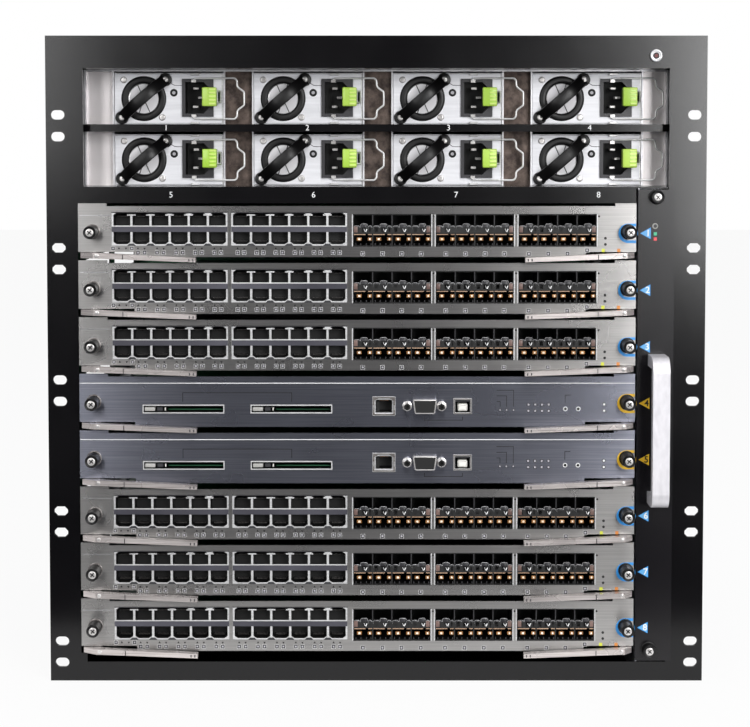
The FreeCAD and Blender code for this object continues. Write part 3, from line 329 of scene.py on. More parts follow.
def brushed_group():
    """Long streaks across, as brushed plate has."""
    made, given, out = group_of(
        "brushed_streaks",
        [("Along", "NodeSocketFloat", 14.0), ("Across", "NodeSocketFloat", 2600.0)],
        [
            ("Height", "NodeSocketFloat"),
            ("Streak", "NodeSocketFloat"),
            ("Patch", "NodeSocketFloat"),
        ],
    )
    place = made.nodes.new("ShaderNodeTexCoord")
    sizes = made.nodes.new("ShaderNodeCombineXYZ")
    link(made, given.outputs["Along"], sizes.inputs["X"])
    link(made, given.outputs["Along"], sizes.inputs["Y"])
    link(made, given.outputs["Across"], sizes.inputs["Z"])
    stretch = made.nodes.new("ShaderNodeVectorMath")
    stretch.operation = "MULTIPLY"
    link(made, place.outputs["Object"], stretch.inputs[0])
    link(made, sizes.outputs[0], stretch.inputs[1])
    streak = made.nodes.new("ShaderNodeTexNoise")
    streak.inputs["Scale"].default_value = 1
    streak.inputs["Detail"].default_value = 5
    link(made, stretch.outputs[0], streak.inputs["Vector"])
    link(made, streak.outputs["Fac"], out.inputs["Height"])
    link(made, streak.outputs["Fac"], out.inputs["Streak"])
    patch = made.nodes.new("ShaderNodeTexNoise")
    patch.inputs["Scale"].default_value = 22
    patch.inputs["Detail"].default_value = 3
    link(made, place.outputs["Object"], patch.inputs["Vector"])
    link(made, patch.outputs["Fac"], out.inputs["Patch"])
    return made


def tint_group():
    """Mixes a colour with a second one by a mask, between two limits."""
    made, given, out = group_of(
        "two_tones",
        [
            ("First", "NodeSocketColor", (0.5, 0.5, 0.5, 1)),
            ("Second", "NodeSocketColor", (0.6, 0.6, 0.6, 1)),
            ("Mask", "NodeSocketFloat", 0.5),
            ("From", "NodeSocketFloat", 0.35),
            ("To", "NodeSocketFloat", 0.65),
        ],
        [("Color", "NodeSocketColor"), ("Share", "NodeSocketFloat")],
    )
    spread = made.nodes.new("ShaderNodeMapRange")
    link(made, given.outputs["Mask"], spread.inputs["Value"])
    link(made, given.outputs["From"], spread.inputs["From Min"])
    link(made, given.outputs["To"], spread.inputs["From Max"])
    blend = made.nodes.new("ShaderNodeMix")
    blend.data_type = "RGBA"
    link(made, spread.outputs["Result"], blend.inputs["Factor"])
    link(made, given.outputs["First"], blend.inputs["A"])
    link(made, given.outputs["Second"], blend.inputs["B"])
    link(made, blend.outputs["Result"], out.inputs["Color"])
    link(made, spread.outputs["Result"], out.inputs["Share"])
    return made


def effect(tree, name, **values):
    """Adds one of the shared groups to a material, with values on its inputs."""
    node = tree.nodes.new("ShaderNodeGroup")
    node.node_tree = GROUPS[name]
    for label, value in values.items():
        node.inputs[label].default_value = value
    return node


def shade(tone):
    """The linear colour of a hex code, or of a colour that is linear already."""
    if not isinstance(tone, str):
        return [*tone, 1.0]
    parts = [int(tone[i:i + 2], 16) / 255 for i in (0, 2, 4)]
    return [p / 12.92 if p <= 0.04045 else ((p + 0.055) / 1.055) ** 2.4 for p in parts] + [1.0]


def new_material(name):
    """A new finish: its node tree and its surface node."""
    made = bpy.data.materials.new(name)
    made.use_nodes = True
    FINISHES[name] = made
    return made.node_tree, made.node_tree.nodes["Principled BSDF"]


def two_tones(tree, surface, mask, light, dark, low, high):
    """Colour that goes from dark to light as the mask goes from low to high."""
    tone = effect(tree, "two_tones", First=shade(dark), Second=shade(light), From=low, To=high)
    link(tree, mask, tone.inputs["Mask"])
    link(tree, tone.outputs["Color"], surface.inputs["Base Color"])


def wandering_roughness(tree, surface, mask, rough, spread):
    """Roughness that wanders about its middle value with the mask."""
    level = tree.nodes.new("ShaderNodeMapRange")
    level.inputs["From Min"].default_value = 0.3
    level.inputs["From Max"].default_value = 0.7
    level.inputs["To Min"].default_value = rough - spread
    level.inputs["To Max"].default_value = rough + spread
    link(tree, mask, level.inputs["Value"])
    link(tree, level.outputs["Result"], surface.inputs["Roughness"])


def raised_by(tree, surface, height, distance):
    """Bumps of the distance, in metres, where the height is one."""
    bumps = tree.nodes.new("ShaderNodeBump")
    bumps.inputs["Distance"].default_value = distance
    link(tree, height, bumps.inputs["Height"])
    link(tree, bumps.outputs["Normal"], surface.inputs["Normal"])


def grained(name, light, dark, rough, depth=0.1, scale=900.0, metal=0.0, rough_spread=0.08,
            coat=0.0, bump=0.0001, gloss=0.5):
    """Powder coat, moulded plastic, rubber, print and board: fine grain with soft patches."""
    tree, surface = new_material(name)
    grain = effect(tree, "fine_grain", Scale=scale, Depth=depth)
    two_tones(tree, surface, grain.outputs["Patch"], light, dark, 0.35, 0.65)
    wandering_roughness(tree, surface, grain.outputs["Patch"], rough, rough_spread)
    raised_by(tree, surface, grain.outputs["Height"], bump)
    surface.inputs["Metallic"].default_value = metal
    surface.inputs["Coat Weight"].default_value = coat
    surface.inputs["Specular IOR Level"].default_value = gloss


def brushed(name, light, dark, rough, metal=1.0, along=14.0, across=2600.0, bump=0.00003,
            stretch=0.0, rough_spread=0.08):
    """Brushed or rolled metal: streaks in colour, roughness and height."""
    tree, surface = new_material(name)
    streaks = effect(tree, "brushed_streaks", Along=along, Across=across)
    two_tones(tree, surface, streaks.outputs["Streak"], light, dark, 0.3, 0.7)
    wandering_roughness(tree, surface, streaks.outputs["Patch"], rough, rough_spread)
    raised_by(tree, surface, streaks.outputs["Height"], bump)
    surface.inputs["Metallic"].default_value = metal
    surface.inputs["Anisotropic"].default_value = stretch
    surface.inputs["Anisotropic Rotation"].default_value = 0.25 if stretch else 0.0


def mottled(name, light, dark, rough, metal):
    """Zinc-plated sheet with cloudy passivation marks."""
    tree, surface = new_material(name)
    place = tree.nodes.new("ShaderNodeTexCoord")
    cloud = tree.nodes.new("ShaderNodeTexNoise")
    cloud.inputs["Scale"].default_value = 90
    cloud.inputs["Detail"].default_value = 8
    cloud.inputs["Roughness"].default_value = 0.7
    link(tree, place.outputs["Object"], cloud.inputs["Vector"])
    two_tones(tree, surface, cloud.outputs["Fac"], light, dark, 0.38, 0.66)
    spangle = tree.nodes.new("ShaderNodeTexVoronoi")
    spangle.inputs["Scale"].default_value = 160
    link(tree, place.outputs["Object"], spangle.inputs["Vector"])
    spread = tree.nodes.new("ShaderNodeMapRange")
    spread.inputs["To Min"].default_value = rough - 0.08
    spread.inputs["To Max"].default_value = rough + 0.12
    link(tree, spangle.outputs["Distance"], spread.inputs["Value"])
    link(tree, spread.outputs["Result"], surface.inputs["Roughness"])
    surface.inputs["Metallic"].default_value = metal


def glowing(name, colour, strength):
    """A lamp's lens, lit where the strength is above nought."""
    tree, surface = new_material(name)
    grain = effect(tree, "fine_grain", Scale=500.0)
    tone = effect(tree, "two_tones", First=shade(colour), Second=[c * 0.8 for c in shade(colour)])
    link(tree, grain.outputs["Patch"], tone.inputs["Mask"])
    link(tree, tone.outputs["Color"], surface.inputs["Base Color"])
    link(tree, tone.outputs["Color"], surface.inputs["Emission Color"])
    surface.inputs["Emission Strength"].default_value = strength
    surface.inputs["Roughness"].default_value = 0.3


def make_finishes(colours):
    """Every finish, with a light tone, a dark tone and a roughness."""
    GROUPS["fine_grain"] = grain_group()
    GROUPS["brushed_streaks"] = brushed_group()
    GROUPS["two_tones"] = tint_group()
    grained("powder_black", "0a090b", "070608", 0.17, depth=0.5, rough_spread=0.02, bump=0.00002,
            gloss=0.42)
    grained("tray_black", "121013", "0e0c10", 0.23, depth=0.5, rough_spread=0.02, bump=0.00002,
            gloss=0.42)
    grained("strap_rubber", "0c0b0c", "070607", 0.42, gloss=0.35)
    grained("strut_grey", "3c3b3f", "2c2b2e", 0.45)
    grained("sign_light", "6fb6e6", "5fa8dc", 0.4)
    grained("button_grey", "bdbcb8", "a5a4a0", 0.4)
    grained("socket_white", "f0eee8", "dedcd4", 0.4)
    grained("recess_black", "070607", "040404", 0.6)
    grained("knob_black", "0b0a0c", "060506", 0.42, rough_spread=0.04, gloss=0.35)
    grained("socket_black", "060506", "040404", 0.55)
    grained("inlet_black", "302f34", "28272b", 0.4, depth=0.3)
    # Zinc painted near white: a painted reflection of the side lights on the cage's end strips.
    grained("filler_white", "fdf7f7", "f2ecec", 0.34, metal=0.4, rough_spread=0.01, bump=0.00001)
    # Painted highlight: the latch pad's green, lighter, for its ribs.
    grained("latch_rib", "dff58e", "cdea72", 0.35)
    # Painted reflection: a warm brown tone laid on patches at the cage blocks' ends.
    grained("painted_warm_reflection", "7d645c", "5e4842", 0.4)
    grained("board_green", "12603a", "0c4427", 0.45, scale=300.0)
    grained("connector_grey", "3a3a3e", "2a2a2e", 0.5)
    grained("band_slate", "55545d", "43424a", 0.35, metal=0.3)
    grained("latch_lime", "bde05c", "a9d446", 0.35, coat=0.2)
    grained("light_tab", "222127", "17161a", 0.35)
    # Painted highlight: the near-white glint laid on the middle of each gold contact.
    grained("painted_contact_highlight", "fff6ea", "f4dcbc", 0.3)
    grained("cream_line", "c9a98e", "a88870", 0.4)
    grained("print_blue", colours.ring_blue, colours.ring_blue, 0.4)
    grained("print_yellow", colours.ring_yellow, colours.ring_yellow, 0.4)
    grained("print_white", "f4f4f4", "e6e6e6", 0.5)
    grained("print_black", "161416", "0e0c0e", 0.5)
    grained("print_amber", "e8974a", "d98436", 0.5)
    grained("print_lime", "dbe04c", "c8cc3c", 0.5)
    grained("hub_label", "f6f5f7", "e9e7ea", 0.55, scale=200.0)
    grained("jack_red", "7a1c1c", "501010", 0.4)
    brushed("nickel_plate", colours.nickel, "a8a6a5", 0.28, across=1200.0, bump=0.00001,
            stretch=0.75, rough_spread=0.015)
    brushed("slate_plate", colours.slate, "8a8c98", 0.28, across=1200.0, bump=0.00001,
            stretch=0.92, rough_spread=0.015)
    brushed("lever_steel", "e6dfdc", "b2a9a6", 0.28, metal=0.6, along=20.0, across=1800.0)
    brushed("port_rim", "e2e2e2", "c4c4c4", 0.34, metal=0.4, along=60.0, across=900.0)
    brushed("shield_tin", "dededf", "b8b8ba", 0.28, metal=0.7, along=60.0, across=900.0)
    brushed("screw_steel", "e8e6e4", "c0bcba", 0.28, metal=0.55, along=200.0, across=400.0)
    brushed("wire_steel", "f6f6f6", "dcdada", 0.25, metal=0.35, along=120.0, across=120.0)
    brushed("supply_zinc", "eeeef2", "e0e0e4", 0.42, metal=0.15, along=30.0, across=500.0)
    brushed("handle_satin", "e2e0e4", "d2d0d4", 0.42, metal=0.3, along=300.0, across=120.0)
    brushed("contact_gold", "c08a52", "7c5230", 0.3, metal=0.5, along=90.0, across=700.0)
    brushed("cage_tin", "8d8987", "5e5856", 0.35, metal=0.6, along=100.0, across=600.0)
    mottled("cage_zinc", "d9d8da", "bdbcc0", 0.4, 0.85)
    mottled("filler_zinc", "6a5d56", "332b28", 0.45, 0.75)
    mottled("guide_zinc", "a4a4a8", "84848a", 0.45, 0.9)
    glowing("lamp_grey", "b8b6bc", 0.0)
    glowing("lamp_green", "3fae84", 0.15)
    glowing("lamp_red", "d9484e", 0.15)


# ---- CAD nodes
def dress(node, *names, by=None):
    """Gives a CAD node its finishes, and each face the one that by() returns."""
    paint(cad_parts[node], *names, by=by)


def header_face(c, n):
    """Bright on the jack's ring, else powder coat."""
    fascia_front, jack_side, reach = -0.01, 190, 5
    return int(c.y < fascia_front and c.x > jack_side and abs(c.z - JACK_Z) < reach)


def cage_face(c, n):
    """The cage's front strips: brown between the bays, and at both ends zinc painted near white as
    a painted reflection of the side lights.
    """
    strip_back, brown_from, glare_from = 47, -114, 196
    if n.y > -0.9 or not SUPPLY_FRONT_Y < c.y < strip_back:
        return 0
    if brown_from < c.x < glare_from:
        return 1
    return 2 if abs(c.x) > glare_from else 0


def midplane_face(c, n):
    """Green on the board, grey on the connectors before and behind it."""
    board_front, board_back = 389.9, 393.3
    return int(c.y < board_front or c.y > board_back)


def dress_case():
    for node in ("chassis_case", "top_cover", "rear_cover", "rack_ear_left", "rack_ear_right",
                 "power_shelf"):
        dress(node, "powder_black")
    dress("header_panel", "powder_black", "shield_tin", by=header_face)
    dress("power_cage", "cage_zinc", "filler_zinc", "filler_white", by=cage_face)
    dress("midplane", "board_green", "connector_grey", by=midplane_face)
    dress("card_guides", "guide_zinc")


def on_plate(c, n):
    """Whether a face is the front of a card's plate, or the edge of an opening in it."""
    return abs(c.y - PLATE_FRONT) < 0.02 or (abs(c.y - PLATE_MIDDLE) < 0.02 and abs(n.y) < 0.5)


def line_card_face(z):
    """Tells the finish of a line card's face, for a card whose middle is at z."""
    blocks_right, cages_left, cages_right = -20, -18, 163

    def face(c, n):
        up = c.z - z
        by_blocks = c.x < blocks_right
        if c.y < PLATE_FRONT - 0.05:
            return 1
        if on_plate(c, n):
            return 0
        if by_blocks and -1.75 < c.y < -0.65 and -0.4 < up < 4.6 and (n.y < -0.9 or c.y < -1.15):
            return 2
        if by_blocks and c.y < 20 and up > -10.4:
            return 3
        # Inside the module cages the tin walls take socket black: painted shade in their depth.
        if cages_left < c.x < cages_right and c.y < 50 and up > -11.05:
            return 3
        if BOARD_LOW < up < BOARD_TOP:
            return 4
        return 5 if c.y > 20 else 0
    return face


def management_card_face(z):
    """Tells the finish of a management card's face, for a card whose middle is at z."""
    left_screw_right, right_screw_left = -200, 175

    def face(c, n):
        if c.y < PLATE_FRONT - 0.05:
            if c.x < left_screw_right or c.x > right_screw_left:
                return 1
            return 2 if n.y < -0.9 else 3
        if abs(c.y + 1.7) < 0.02 and n.y < -0.9:
            return 3
        if on_plate(c, n):
            return 0
        if BOARD_LOW < c.z - z < BOARD_TOP:
            return 4
        return 5 if c.y > 45 else 2
    return face


def dress_cards():
    for slot in LINE_SLOTS:
        dress("line_card_%d" % slot, "nickel_plate", "knob_black", "band_slate", "socket_black",
              "board_green", "connector_grey", by=line_card_face(card_z(slot)))
    for slot in MANAGEMENT_SLOTS:
        dress("management_card_%d" % slot, "slate_plate", "knob_black", "socket_black",
              "shield_tin", "board_green", "connector_grey",
              by=management_card_face(card_z(slot)))
    for slot in CARD_SLOTS:
        for word in ("left", "right"):
            dress("ejector_%s_%d" % (word, slot), "lever_steel")


def supply_face(x, y, z):
    """Tells the finish of a supply's face, for a supply whose lower left corner is given."""
    inlet_left, inlet_right, inlet_up, inlet_reach = 50, 74.2, 0.6, 14.3
    fan_right, strap_right, fan_back = 40, 46, 15

    def face(c, n):
        right, back, up = c.x - x, c.y - y, c.z - z - SUPPLY_MIDDLE
        before = back < -0.01
        by_fan = right < fan_right
        by_inlet = (inlet_left < right < inlet_right and abs(up - inlet_up) < inlet_reach
                    and -1.6 < back < 25)
        if by_inlet and (before or abs(n.y) < 0.99 or back > 0.3):
            return 1 if back < 0.3 else 3
        if before and right < strap_right:
            return 2
        if by_fan and 0.3 < back < fan_back and abs(n.y) < 0.9:
            return 3
        if by_fan and abs(back - 2) < 0.2:
            return 4
        if before:
            return 5
        return 3 if by_fan and 0.5 < back < fan_back else 0
    return face


def latch_face(c, n):
    """Green on the pad, bright on the arm behind it."""
    pad_back = 3.9
    return int(c.y > SUPPLY_FRONT_Y - pad_back)


def dress_supplies():
    for number in SUPPLIES:
        dress("power_supply_%d" % number, "supply_zinc", "inlet_black", "knob_black",
              "recess_black", "hub_label", "screw_steel", by=supply_face(*supply_place(number)))
        dress("supply_latch_%d" % number, "latch_lime", "shield_tin", by=latch_face)


def tray_face(c, n):
    """Dark inside the tray, matt on the screws before its panel, else powder coat."""
    panel_back, screws_front = 5, -2.5
    if c.y > panel_back:
        return 1
    return 2 if c.y < screws_front else 0


def dress_tray():
    dress("fan_tray", "tray_black", "recess_black", "knob_black", by=tray_face)
    dress("fan_tray_handle", "handle_satin")


def fit_to(piece, body):
    """The piece moves with the body."""
    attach(piece, body)
    return piece


# ---- Captive screws
def cross_recess(piece, centre, half_long, half_wide, front, floor, angle):
    """Cuts a cross into a screw's head, down to the recess's floor."""
    x, z = centre
    for turned in (angle, angle + 90):
        bar = block("recess", (x - half_long, front, z - half_wide),
                    (x + half_long, floor, z + half_wide))
        carve(piece, turn(bar, turned, "Y", (x, 0, z)))


def captive_screw(name, radius, long, flange_finish):
    """A knurled knob on a flange, with a cross recess in its steel tip, at the origin."""
    sides = 48
    step = 360 / sides

    def every_other_side(c, n):
        degrees = math.degrees(math.atan2(n.z, n.x))
        return abs(n.y) < 0.5 and round((degrees - step / 2) / step) % 2 == 0

    flange = disc(name + "_flange", (0, 0), radius * 1.24, -1.1, 0.05, sides=36)
    soften(flange, 0.3, 2)
    paint(flange, flange_finish)
    knob = disc(name + "_knob", (0, 0), radius * 1.04, -long, -1.0, sides=sides)
    inset_faces(knob, every_other_side, (0.06, -0.22), each=True)
    inset_faces(knob, faces_front, (radius * 0.1, 0.4), (radius * 0.16, -0.4))
    paint(knob, "knob_black")
    tip = disc(name + "_tip", (0, 0), radius * 0.64, -long - 0.6, -long + 0.8, sides=28)
    soften(tip, 0.35, 2)
    cross_recess(tip, (0, 0), radius * 0.42, 0.42, -long - 2, -long + 0.4, 40)
    paint(tip, "screw_steel")
    return smooth(join([flange, knob, tip], name))


def screws():
    for word, x, flange_finish in (("left", SCREW_LEFT_X, "cage_tin"),
                                   ("right", SCREW_RIGHT_X, "knob_black")):
        master = captive_screw("captive_screw", SCREW_RADIUS, 17.0, flange_finish)
        for slot in CARD_SLOTS:
            piece = copy_to(master, "captive_screw_%s_%d" % (word, slot),
                            (x, PLATE_FRONT, card_z(slot)))
            fit_to(piece, "card_%d" % slot)
        discard(master)


# ---- Prints and lamps on the cards, upwards from a card's middle height
def printed_ring(name, finish_name, x, z, edge):
    """A ring printed round the right screw, open where it meets the plate's edge."""
    outside, inside = 7.1, 5.1
    piece = disc(name, (0, 0), outside, -0.08, 0.05, sides=64)
    over = block("over", (0, -0.04, -outside), (edge - x, 0.05, outside))
    pick(over, faces_front)
    bpy.ops.transform.translate(value=(0, -0.04 * MM, 0))
    done()
    fuse(piece, over)
    carve(piece, disc("inside", (0, 0), inside, -1, 1, sides=48))
    carve(piece, block("inside", (0, -1, -inside), (edge - x + 1, 1, inside)))
    paint(piece, finish_name)
    return copy_to_place(piece, (x, PLATE_FRONT, z))


def copy_to_place(piece, move):
    """Moves the piece itself by millimetres."""
    piece.location = [m * MM for m in move]
    return settle(piece, piece.name)


def lamp_window(name, x, z, size):
    """A small square window: a dark frame round a pale pane, with a white ring outside that is a
    painted highlight on its edge.
    """
    pane_share, frame_share, edge_share = 0.23, 0.44, 1.12
    size *= edge_share
    pane = block(name, (x - size / 2, PLATE_FRONT - 0.15, z - size / 2),
                 (x + size / 2, PRINT_BACK, z + size / 2))
    inset_faces(pane, faces_front, (size * 0.06, 0), (size * 0.2, 0), (size * 0.03, -0.1))

    # Print white on the outer ring is a painted highlight on the window's edge.
    def tone(c, n):
        out = max(abs(c.x - x), abs(c.z - z)) / size
        if not faces_front(c, n) or pane_share <= out < frame_share:
            return 1
        return 0 if out < pane_share else 2
    return paint(pane, "lamp_grey", "print_black", "print_white", by=tone)


def arrow_mark(name, x, z, up):
    """A small printed triangle that points up or down."""
    piece = disc(name, (x, z), 1.0, PRINT_FRONT, PLATE_FRONT + 0.05, sides=3)
    turn(piece, 0 if up else 180, "Y", (x, 0, z))
    return paint(piece, "print_black")


def line_card_prints():
    """Windows, arrows and lamps of one line card, about its own middle height."""
    upper_z, arrow_z, lower_z, cage_z, last_cage_z = -12.2, -12.3, -15.3, -16.2, -13.6
    beside = 2.4
    cage_lamps = (-9.92, 4.56, 18.59, 32.84, 50.84, 65.25, 79.57, 93.61, 111.61, 125.79, 139.82)
    made = [lamp_window("w", x, upper_z, 2.6) for x in (-192.5, -178.8)]
    made += [arrow_mark("m", -188.2, upper_z, True), arrow_mark("m", -183.1, upper_z, False)]
    for first, count in ((-171.9, 5), (-99.05, 6)):
        for column in range(count):
            middle = first + SOCKET_PITCH * column
            for x, up in ((middle - beside, True), (middle + beside, False)):
                made.append(lamp_window("w", x, lower_z, 2.7))
                made.append(arrow_mark("m", x, arrow_z, up))
    made += [lamp_window("w", x, cage_z, 2.8) for x in cage_lamps]
    made.append(lamp_window("w", 154.15, last_cage_z, 2.8))
    for z in (-4.8, -9.3):
        hole = disc("h", (167.5, z), 1.0, PLATE_FRONT - 0.05, PRINT_BACK, sides=20)
        made.append(paint(hole, "print_black"))
    for x, name in ((166.0, "print_lime"), (177.4, "print_amber")):
        mark = block("s", (x - 1.2, PLATE_FRONT - 0.06, -14.9), (x + 1.2, PRINT_BACK, -12.5), 0.05)
        made.append(paint(mark, name))
    # A bright strip near the plate's top: a painted highlight along the plate's bend.
    line = block("bend", (-217.0, PRINT_FRONT, 11.6), (-195.0, PRINT_BACK, 12.2), 0.05)
    made.append(paint(line, "shield_tin"))
    return join(made, "line_card_prints")


# ---- Network sockets and cages
def socket_hole(name, left, low, wide, high, key_in, key, front, back, keys=(1, -1)):
    """A socket's outline as a solid, narrowing to its keyways at top and bottom."""
    piece = block(name, (left, front, low), (left + wide, back, low + high))
    for sign in keys:
        pick(piece, lambda c, n, s=sign: n.z * s > 0.9)
        bpy.ops.mesh.extrude_region_move(
            TRANSFORM_OT_translate={"value": (0, 0, sign * key * MM)})
        bpy.ops.transform.resize(
            value=((wide - 2 * key_in) / wide, 1, 1),
            center_override=((left + wide / 2) * MM, 0, 0),
        )
        done()
    return piece


def port_shield(left):
    """The tin shield over one block of twelve sockets, with the fillers between its keyways."""
    columns = 6
    first, right = left + 1.4, left + (columns - 1) * SOCKET_PITCH + SOCKET_WIDE + 2.8
    step = (SOCKET_PITCH, 0, 0)
    plate = block("shield", (left - 0.5, -1.5, -10.3), (right + 0.3, -0.6, 14.0))
    hole = socket_hole("hole", first - 0.2, -7.6, 12.3, 19.8, 2.4, 1.6, -4, 4)
    repeat(hole, columns, step)
    carve(plate, hole)
    soften(plate, 0.12, 1)
    paint(plate, "port_rim")
    made = [plate]
    between = first + (SOCKET_WIDE + SOCKET_PITCH) / 2
    low = block("filler", (between - 3.3, -1.7, -10.4), (between + 3.3, -1.35, -8.7))
    pick(low, lambda c, n: n.z > 0.9)
    bpy.ops.transform.resize(value=(0.5, 1, 1), center_override=(between * MM, 0, 0))
    done()
    made.append(paint(repeat(low, columns - 1, step), "connector_grey"))
    upper = block("filler", (between - 3.2, -1.9, 11.7), (between + 3.2, -1.35, 12.7), 0.2)
    made.append(paint(repeat(upper, columns - 1, step), "port_rim"))
    seam = block("seam", (left - 0.5, -1.75, 13.75), (right + 0.3, -1.2, 14.35), 0.1)
    made.append(paint(seam, "strut_grey"))
    trim = block("trim", (left - 0.3, -2.0, 3.6), (right + 0.1, -1.5, 4.5), 0.2)
    made.append(paint(trim, "port_rim"))
    contacts = block("contact", (first + 2.2, 3.0, 10.9), (first + 2.7, 9.0, 11.3), 0.1)
    repeat(contacts, 8, (1.02, 0, 0))
    repeat(contacts, columns, step)
    lower = copy_to(contacts, "contact", (0, 0, -18.2))
    for piece in (contacts, lower):
        made.append(paint(piece, "cage_tin"))
    return join(made, "port_shield")


def cage_front(left):
    """The light tabs, marks and contacts of one block of eight module cages, with painted
    highlights on the contacts and a painted warm reflection at its ends.
    """
    columns = 4
    made, cell = [], left + 0.7
    right = left + (columns - 1) * CAGE_PITCH + CAGE_WIDE + 1.4

    def row(piece, finish_name, count=columns):
        made.append(paint(repeat(piece, count, (CAGE_PITCH, 0, 0)), finish_name))

    for low, high in ((left - 0.75, left + 0.15), (right - 0.15, right + 0.75)):
        lip = block("lip", (low, -2.4, -10.9), (high, -1.0, 12.6), 0.2)
        made.append(paint(lip, "port_rim"))
    dot = disc("dot", (right + 1.5, 11.2), 0.8, PRINT_FRONT, PRINT_BACK, sides=18)
    made.append(paint(dot, "print_black"))
    wall = block("wall", (cell + 13.5, -1.5, 4.6), (cell + 14.0, 0, 12.4), 0.08)
    row(wall, "strut_grey", columns - 1)
    for x, wide, high in ((0.1, 4.3, 4.2), (5.0, 5.0, 5.7), (10.4, 2.9, 4.2)):
        tab = block("tab", (cell + x, -1.7, -1.2), (cell + x + wide, 0.4, high), 0.9, 3)
        row(smooth(tab), "light_tab")
        bow = [(cell + x, -1.55, high - 2.6), (cell + x, -1.55, high - 0.6),
               (cell + x + 0.7, -1.55, high), (cell + x + wide - 0.7, -1.55, high),
               (cell + x + wide, -1.55, high - 0.6), (cell + x + wide, -1.55, high - 1.4)]
        row(wire_piece("bow", bow, 0.2, "shield_tin", 0), "shield_tin")
    for x, wide, lean in ((7.7, 0.35, -24), (8.8, 0.7, 22)):
        mark = block("mark", (cell + x, -2.1, -0.1), (cell + x + wide, -1.6, 2.2), 0.12)
        row(turn(mark, lean, "Y", (cell + x, 0, 1.0)), "print_white")
    for x, wide in ((0.0, 8.6), (10.4, 2.9)):
        line = block("line", (cell + x, -1.5, -2.4), (cell + x + wide, 0.6, -1.8), 0.15)
        row(line, "cream_line")
    for x, wide in ((2.1, 3.7), (10.1, 3.2)):
        finger = block("finger", (cell + x, -1.2, -6.7), (cell + x + wide, 0.8, -4.3), 0.35, 2)
        row(finger, "contact_gold")
        # A near-white block on each finger's middle is a painted highlight on the gold.
        glint = block("glint", (cell + x + 1.0, -1.4, -6.3),
                      (cell + x + wide - 0.9, 0.4, -4.7), 0.3, 2)
        row(glint, "painted_contact_highlight")
    # Painted reflection: warm brown patches at the left of the first cage and the right of the
    # last.
    for low in (cell, cell + 53.2):
        patch = block("sheen", (low, -1.85, -0.6), (low + 2.8, -1.5, 3.8), 0.5, 2)
        made.append(paint(smooth(patch), "painted_warm_reflection"))
    for x in (1.2, 4.8, 8.9, 12.2):
        row(block("pin", (cell + x, -1.0, -10.0), (cell + x + 0.6, 0.5, -8.6), 0.1), "strut_grey")
    return join(made, "cage_front")


def card_details():
    shields = [port_shield(BLOCK_LEFT_X + BLOCK_PITCH * block_number) for block_number in range(2)]
    cages = [cage_front(CAGES_LEFT_X + CAGES_PITCH * cage) for cage in range(3)]
    masters = {
        "prints": line_card_prints(),
        "port_shields": join(shields, "port_shields"),
        "cage_fronts": join(cages, "cage_fronts"),
    }
    for slot in LINE_SLOTS:
        for word, master in masters.items():
            piece = copy_to(master, "line_card_%s_%d" % (word, slot), (0, 0, card_z(slot)))
            fit_to(piece, "card_%d" % slot)
    discard(*masters.values())
    for slot in CARD_SLOTS:
        piece = printed_ring("screw_ring_%d" % slot, slot_colour(slot), SCREW_RIGHT_X,
                             card_z(slot) - RING_DROP, PLATE_RIGHT_X)
        fit_to(piece, "card_%d" % slot)


# ---- Power supplies, right and up from a supply's lower left corner
def pan_screw(name, x, z, radius, front):
    """A pan-head screw with a cross recess."""
    piece = disc(name, (x, z), radius, front - radius * 0.45, front + 0.2, sides=26,
                 tip=radius * 0.8)
    soften(piece, radius * 0.22, 3)
    cross_recess(piece, (x, z), radius * 0.5, radius * 0.13, front - 4, front - radius * 0.2, 20)
    return paint(smooth(piece), "screw_steel")


def strap_handle():
    """The slanting strap over the fan: a swept arch with a round pad and a screw at each end."""
    stations = [(-21.0, -2.9), (-18, -6.0), (-14, -10.0), (-9.5, -13.5), (-5, -14.1), (0, -14.3),
                (5, -14.1), (9.5, -13.5), (14, -10.0), (18, -6.0), (21.0, -2.9), (22.6, -1.6)]
    strap = block("strap", (-23.4, -1.7, -4.3), (-22.6, 1.3, 4.3))
    x, front = -22.6, -1.7
    for station, height in stations:
        pick(strap, lambda c, n, edge=x: n.x > 0.6 and c.x > edge - 0.01)
        bpy.ops.mesh.extrude_region_move(TRANSFORM_OT_translate={
            "value": ((station - x) * MM, (height - front) * MM, 0)})
        done()
        x, front = station, height
    soften(strap, 0.7, 2, angle=60)
    pads = [disc("pad", (side * 21.5, 0), 5.0, -2.1, 0.3, sides=28) for side in (-1, 1)]
    for pad in pads:
        soften(pad, 0.6, 2)
    made = join([strap, *pads], "strap_handle")
    paint(made, "strap_rubber")
    turn(made, -41, "Y", (0, 0, 0))
    made = copy_to_place(made, (FAN_X, 0, SUPPLY_MIDDLE))
    ends = [pan_screw("s", 5.4, 4.9, 2.5, -2.0), pan_screw("s", 38.0, 33.1, 2.5, -2.0)]
    return join([smooth(made, 40), *ends], "strap_handle")


def fan_guard():
    """The glossy ring, the label on the hub and the struts behind the strap."""
    centre, label_edge, strut_reach = (FAN_X, SUPPLY_MIDDLE), 10.9, 11.4
    rim = ring("rim", centre, 14.1, 2.75, -0.1, sides=48, around=12, squash=0.32)
    paint(smooth(rim, 60), "knob_black")
    label = disc("label", centre, 11.7, 0.9, 2.2, sides=40)
    inset_faces(label, faces_front, (0.8, -0.2), (4.5, 0))
    paint(label, "hub_label", "shield_tin",
          by=lambda c, n: int(math.hypot(c.x - FAN_X, c.z - SUPPLY_MIDDLE) > label_edge))
    made = [rim, label]
    for angle in (66, 108):
        strut = block("strut", (FAN_X - strut_reach, 0.5, 18.6), (FAN_X + strut_reach, 1.3, 19.2),
                      0.1)
        turn(strut, angle, "Y", (FAN_X, 0, SUPPLY_MIDDLE))
        made.append(paint(strut, "strut_grey"))
    return join(made, "fan_guard")


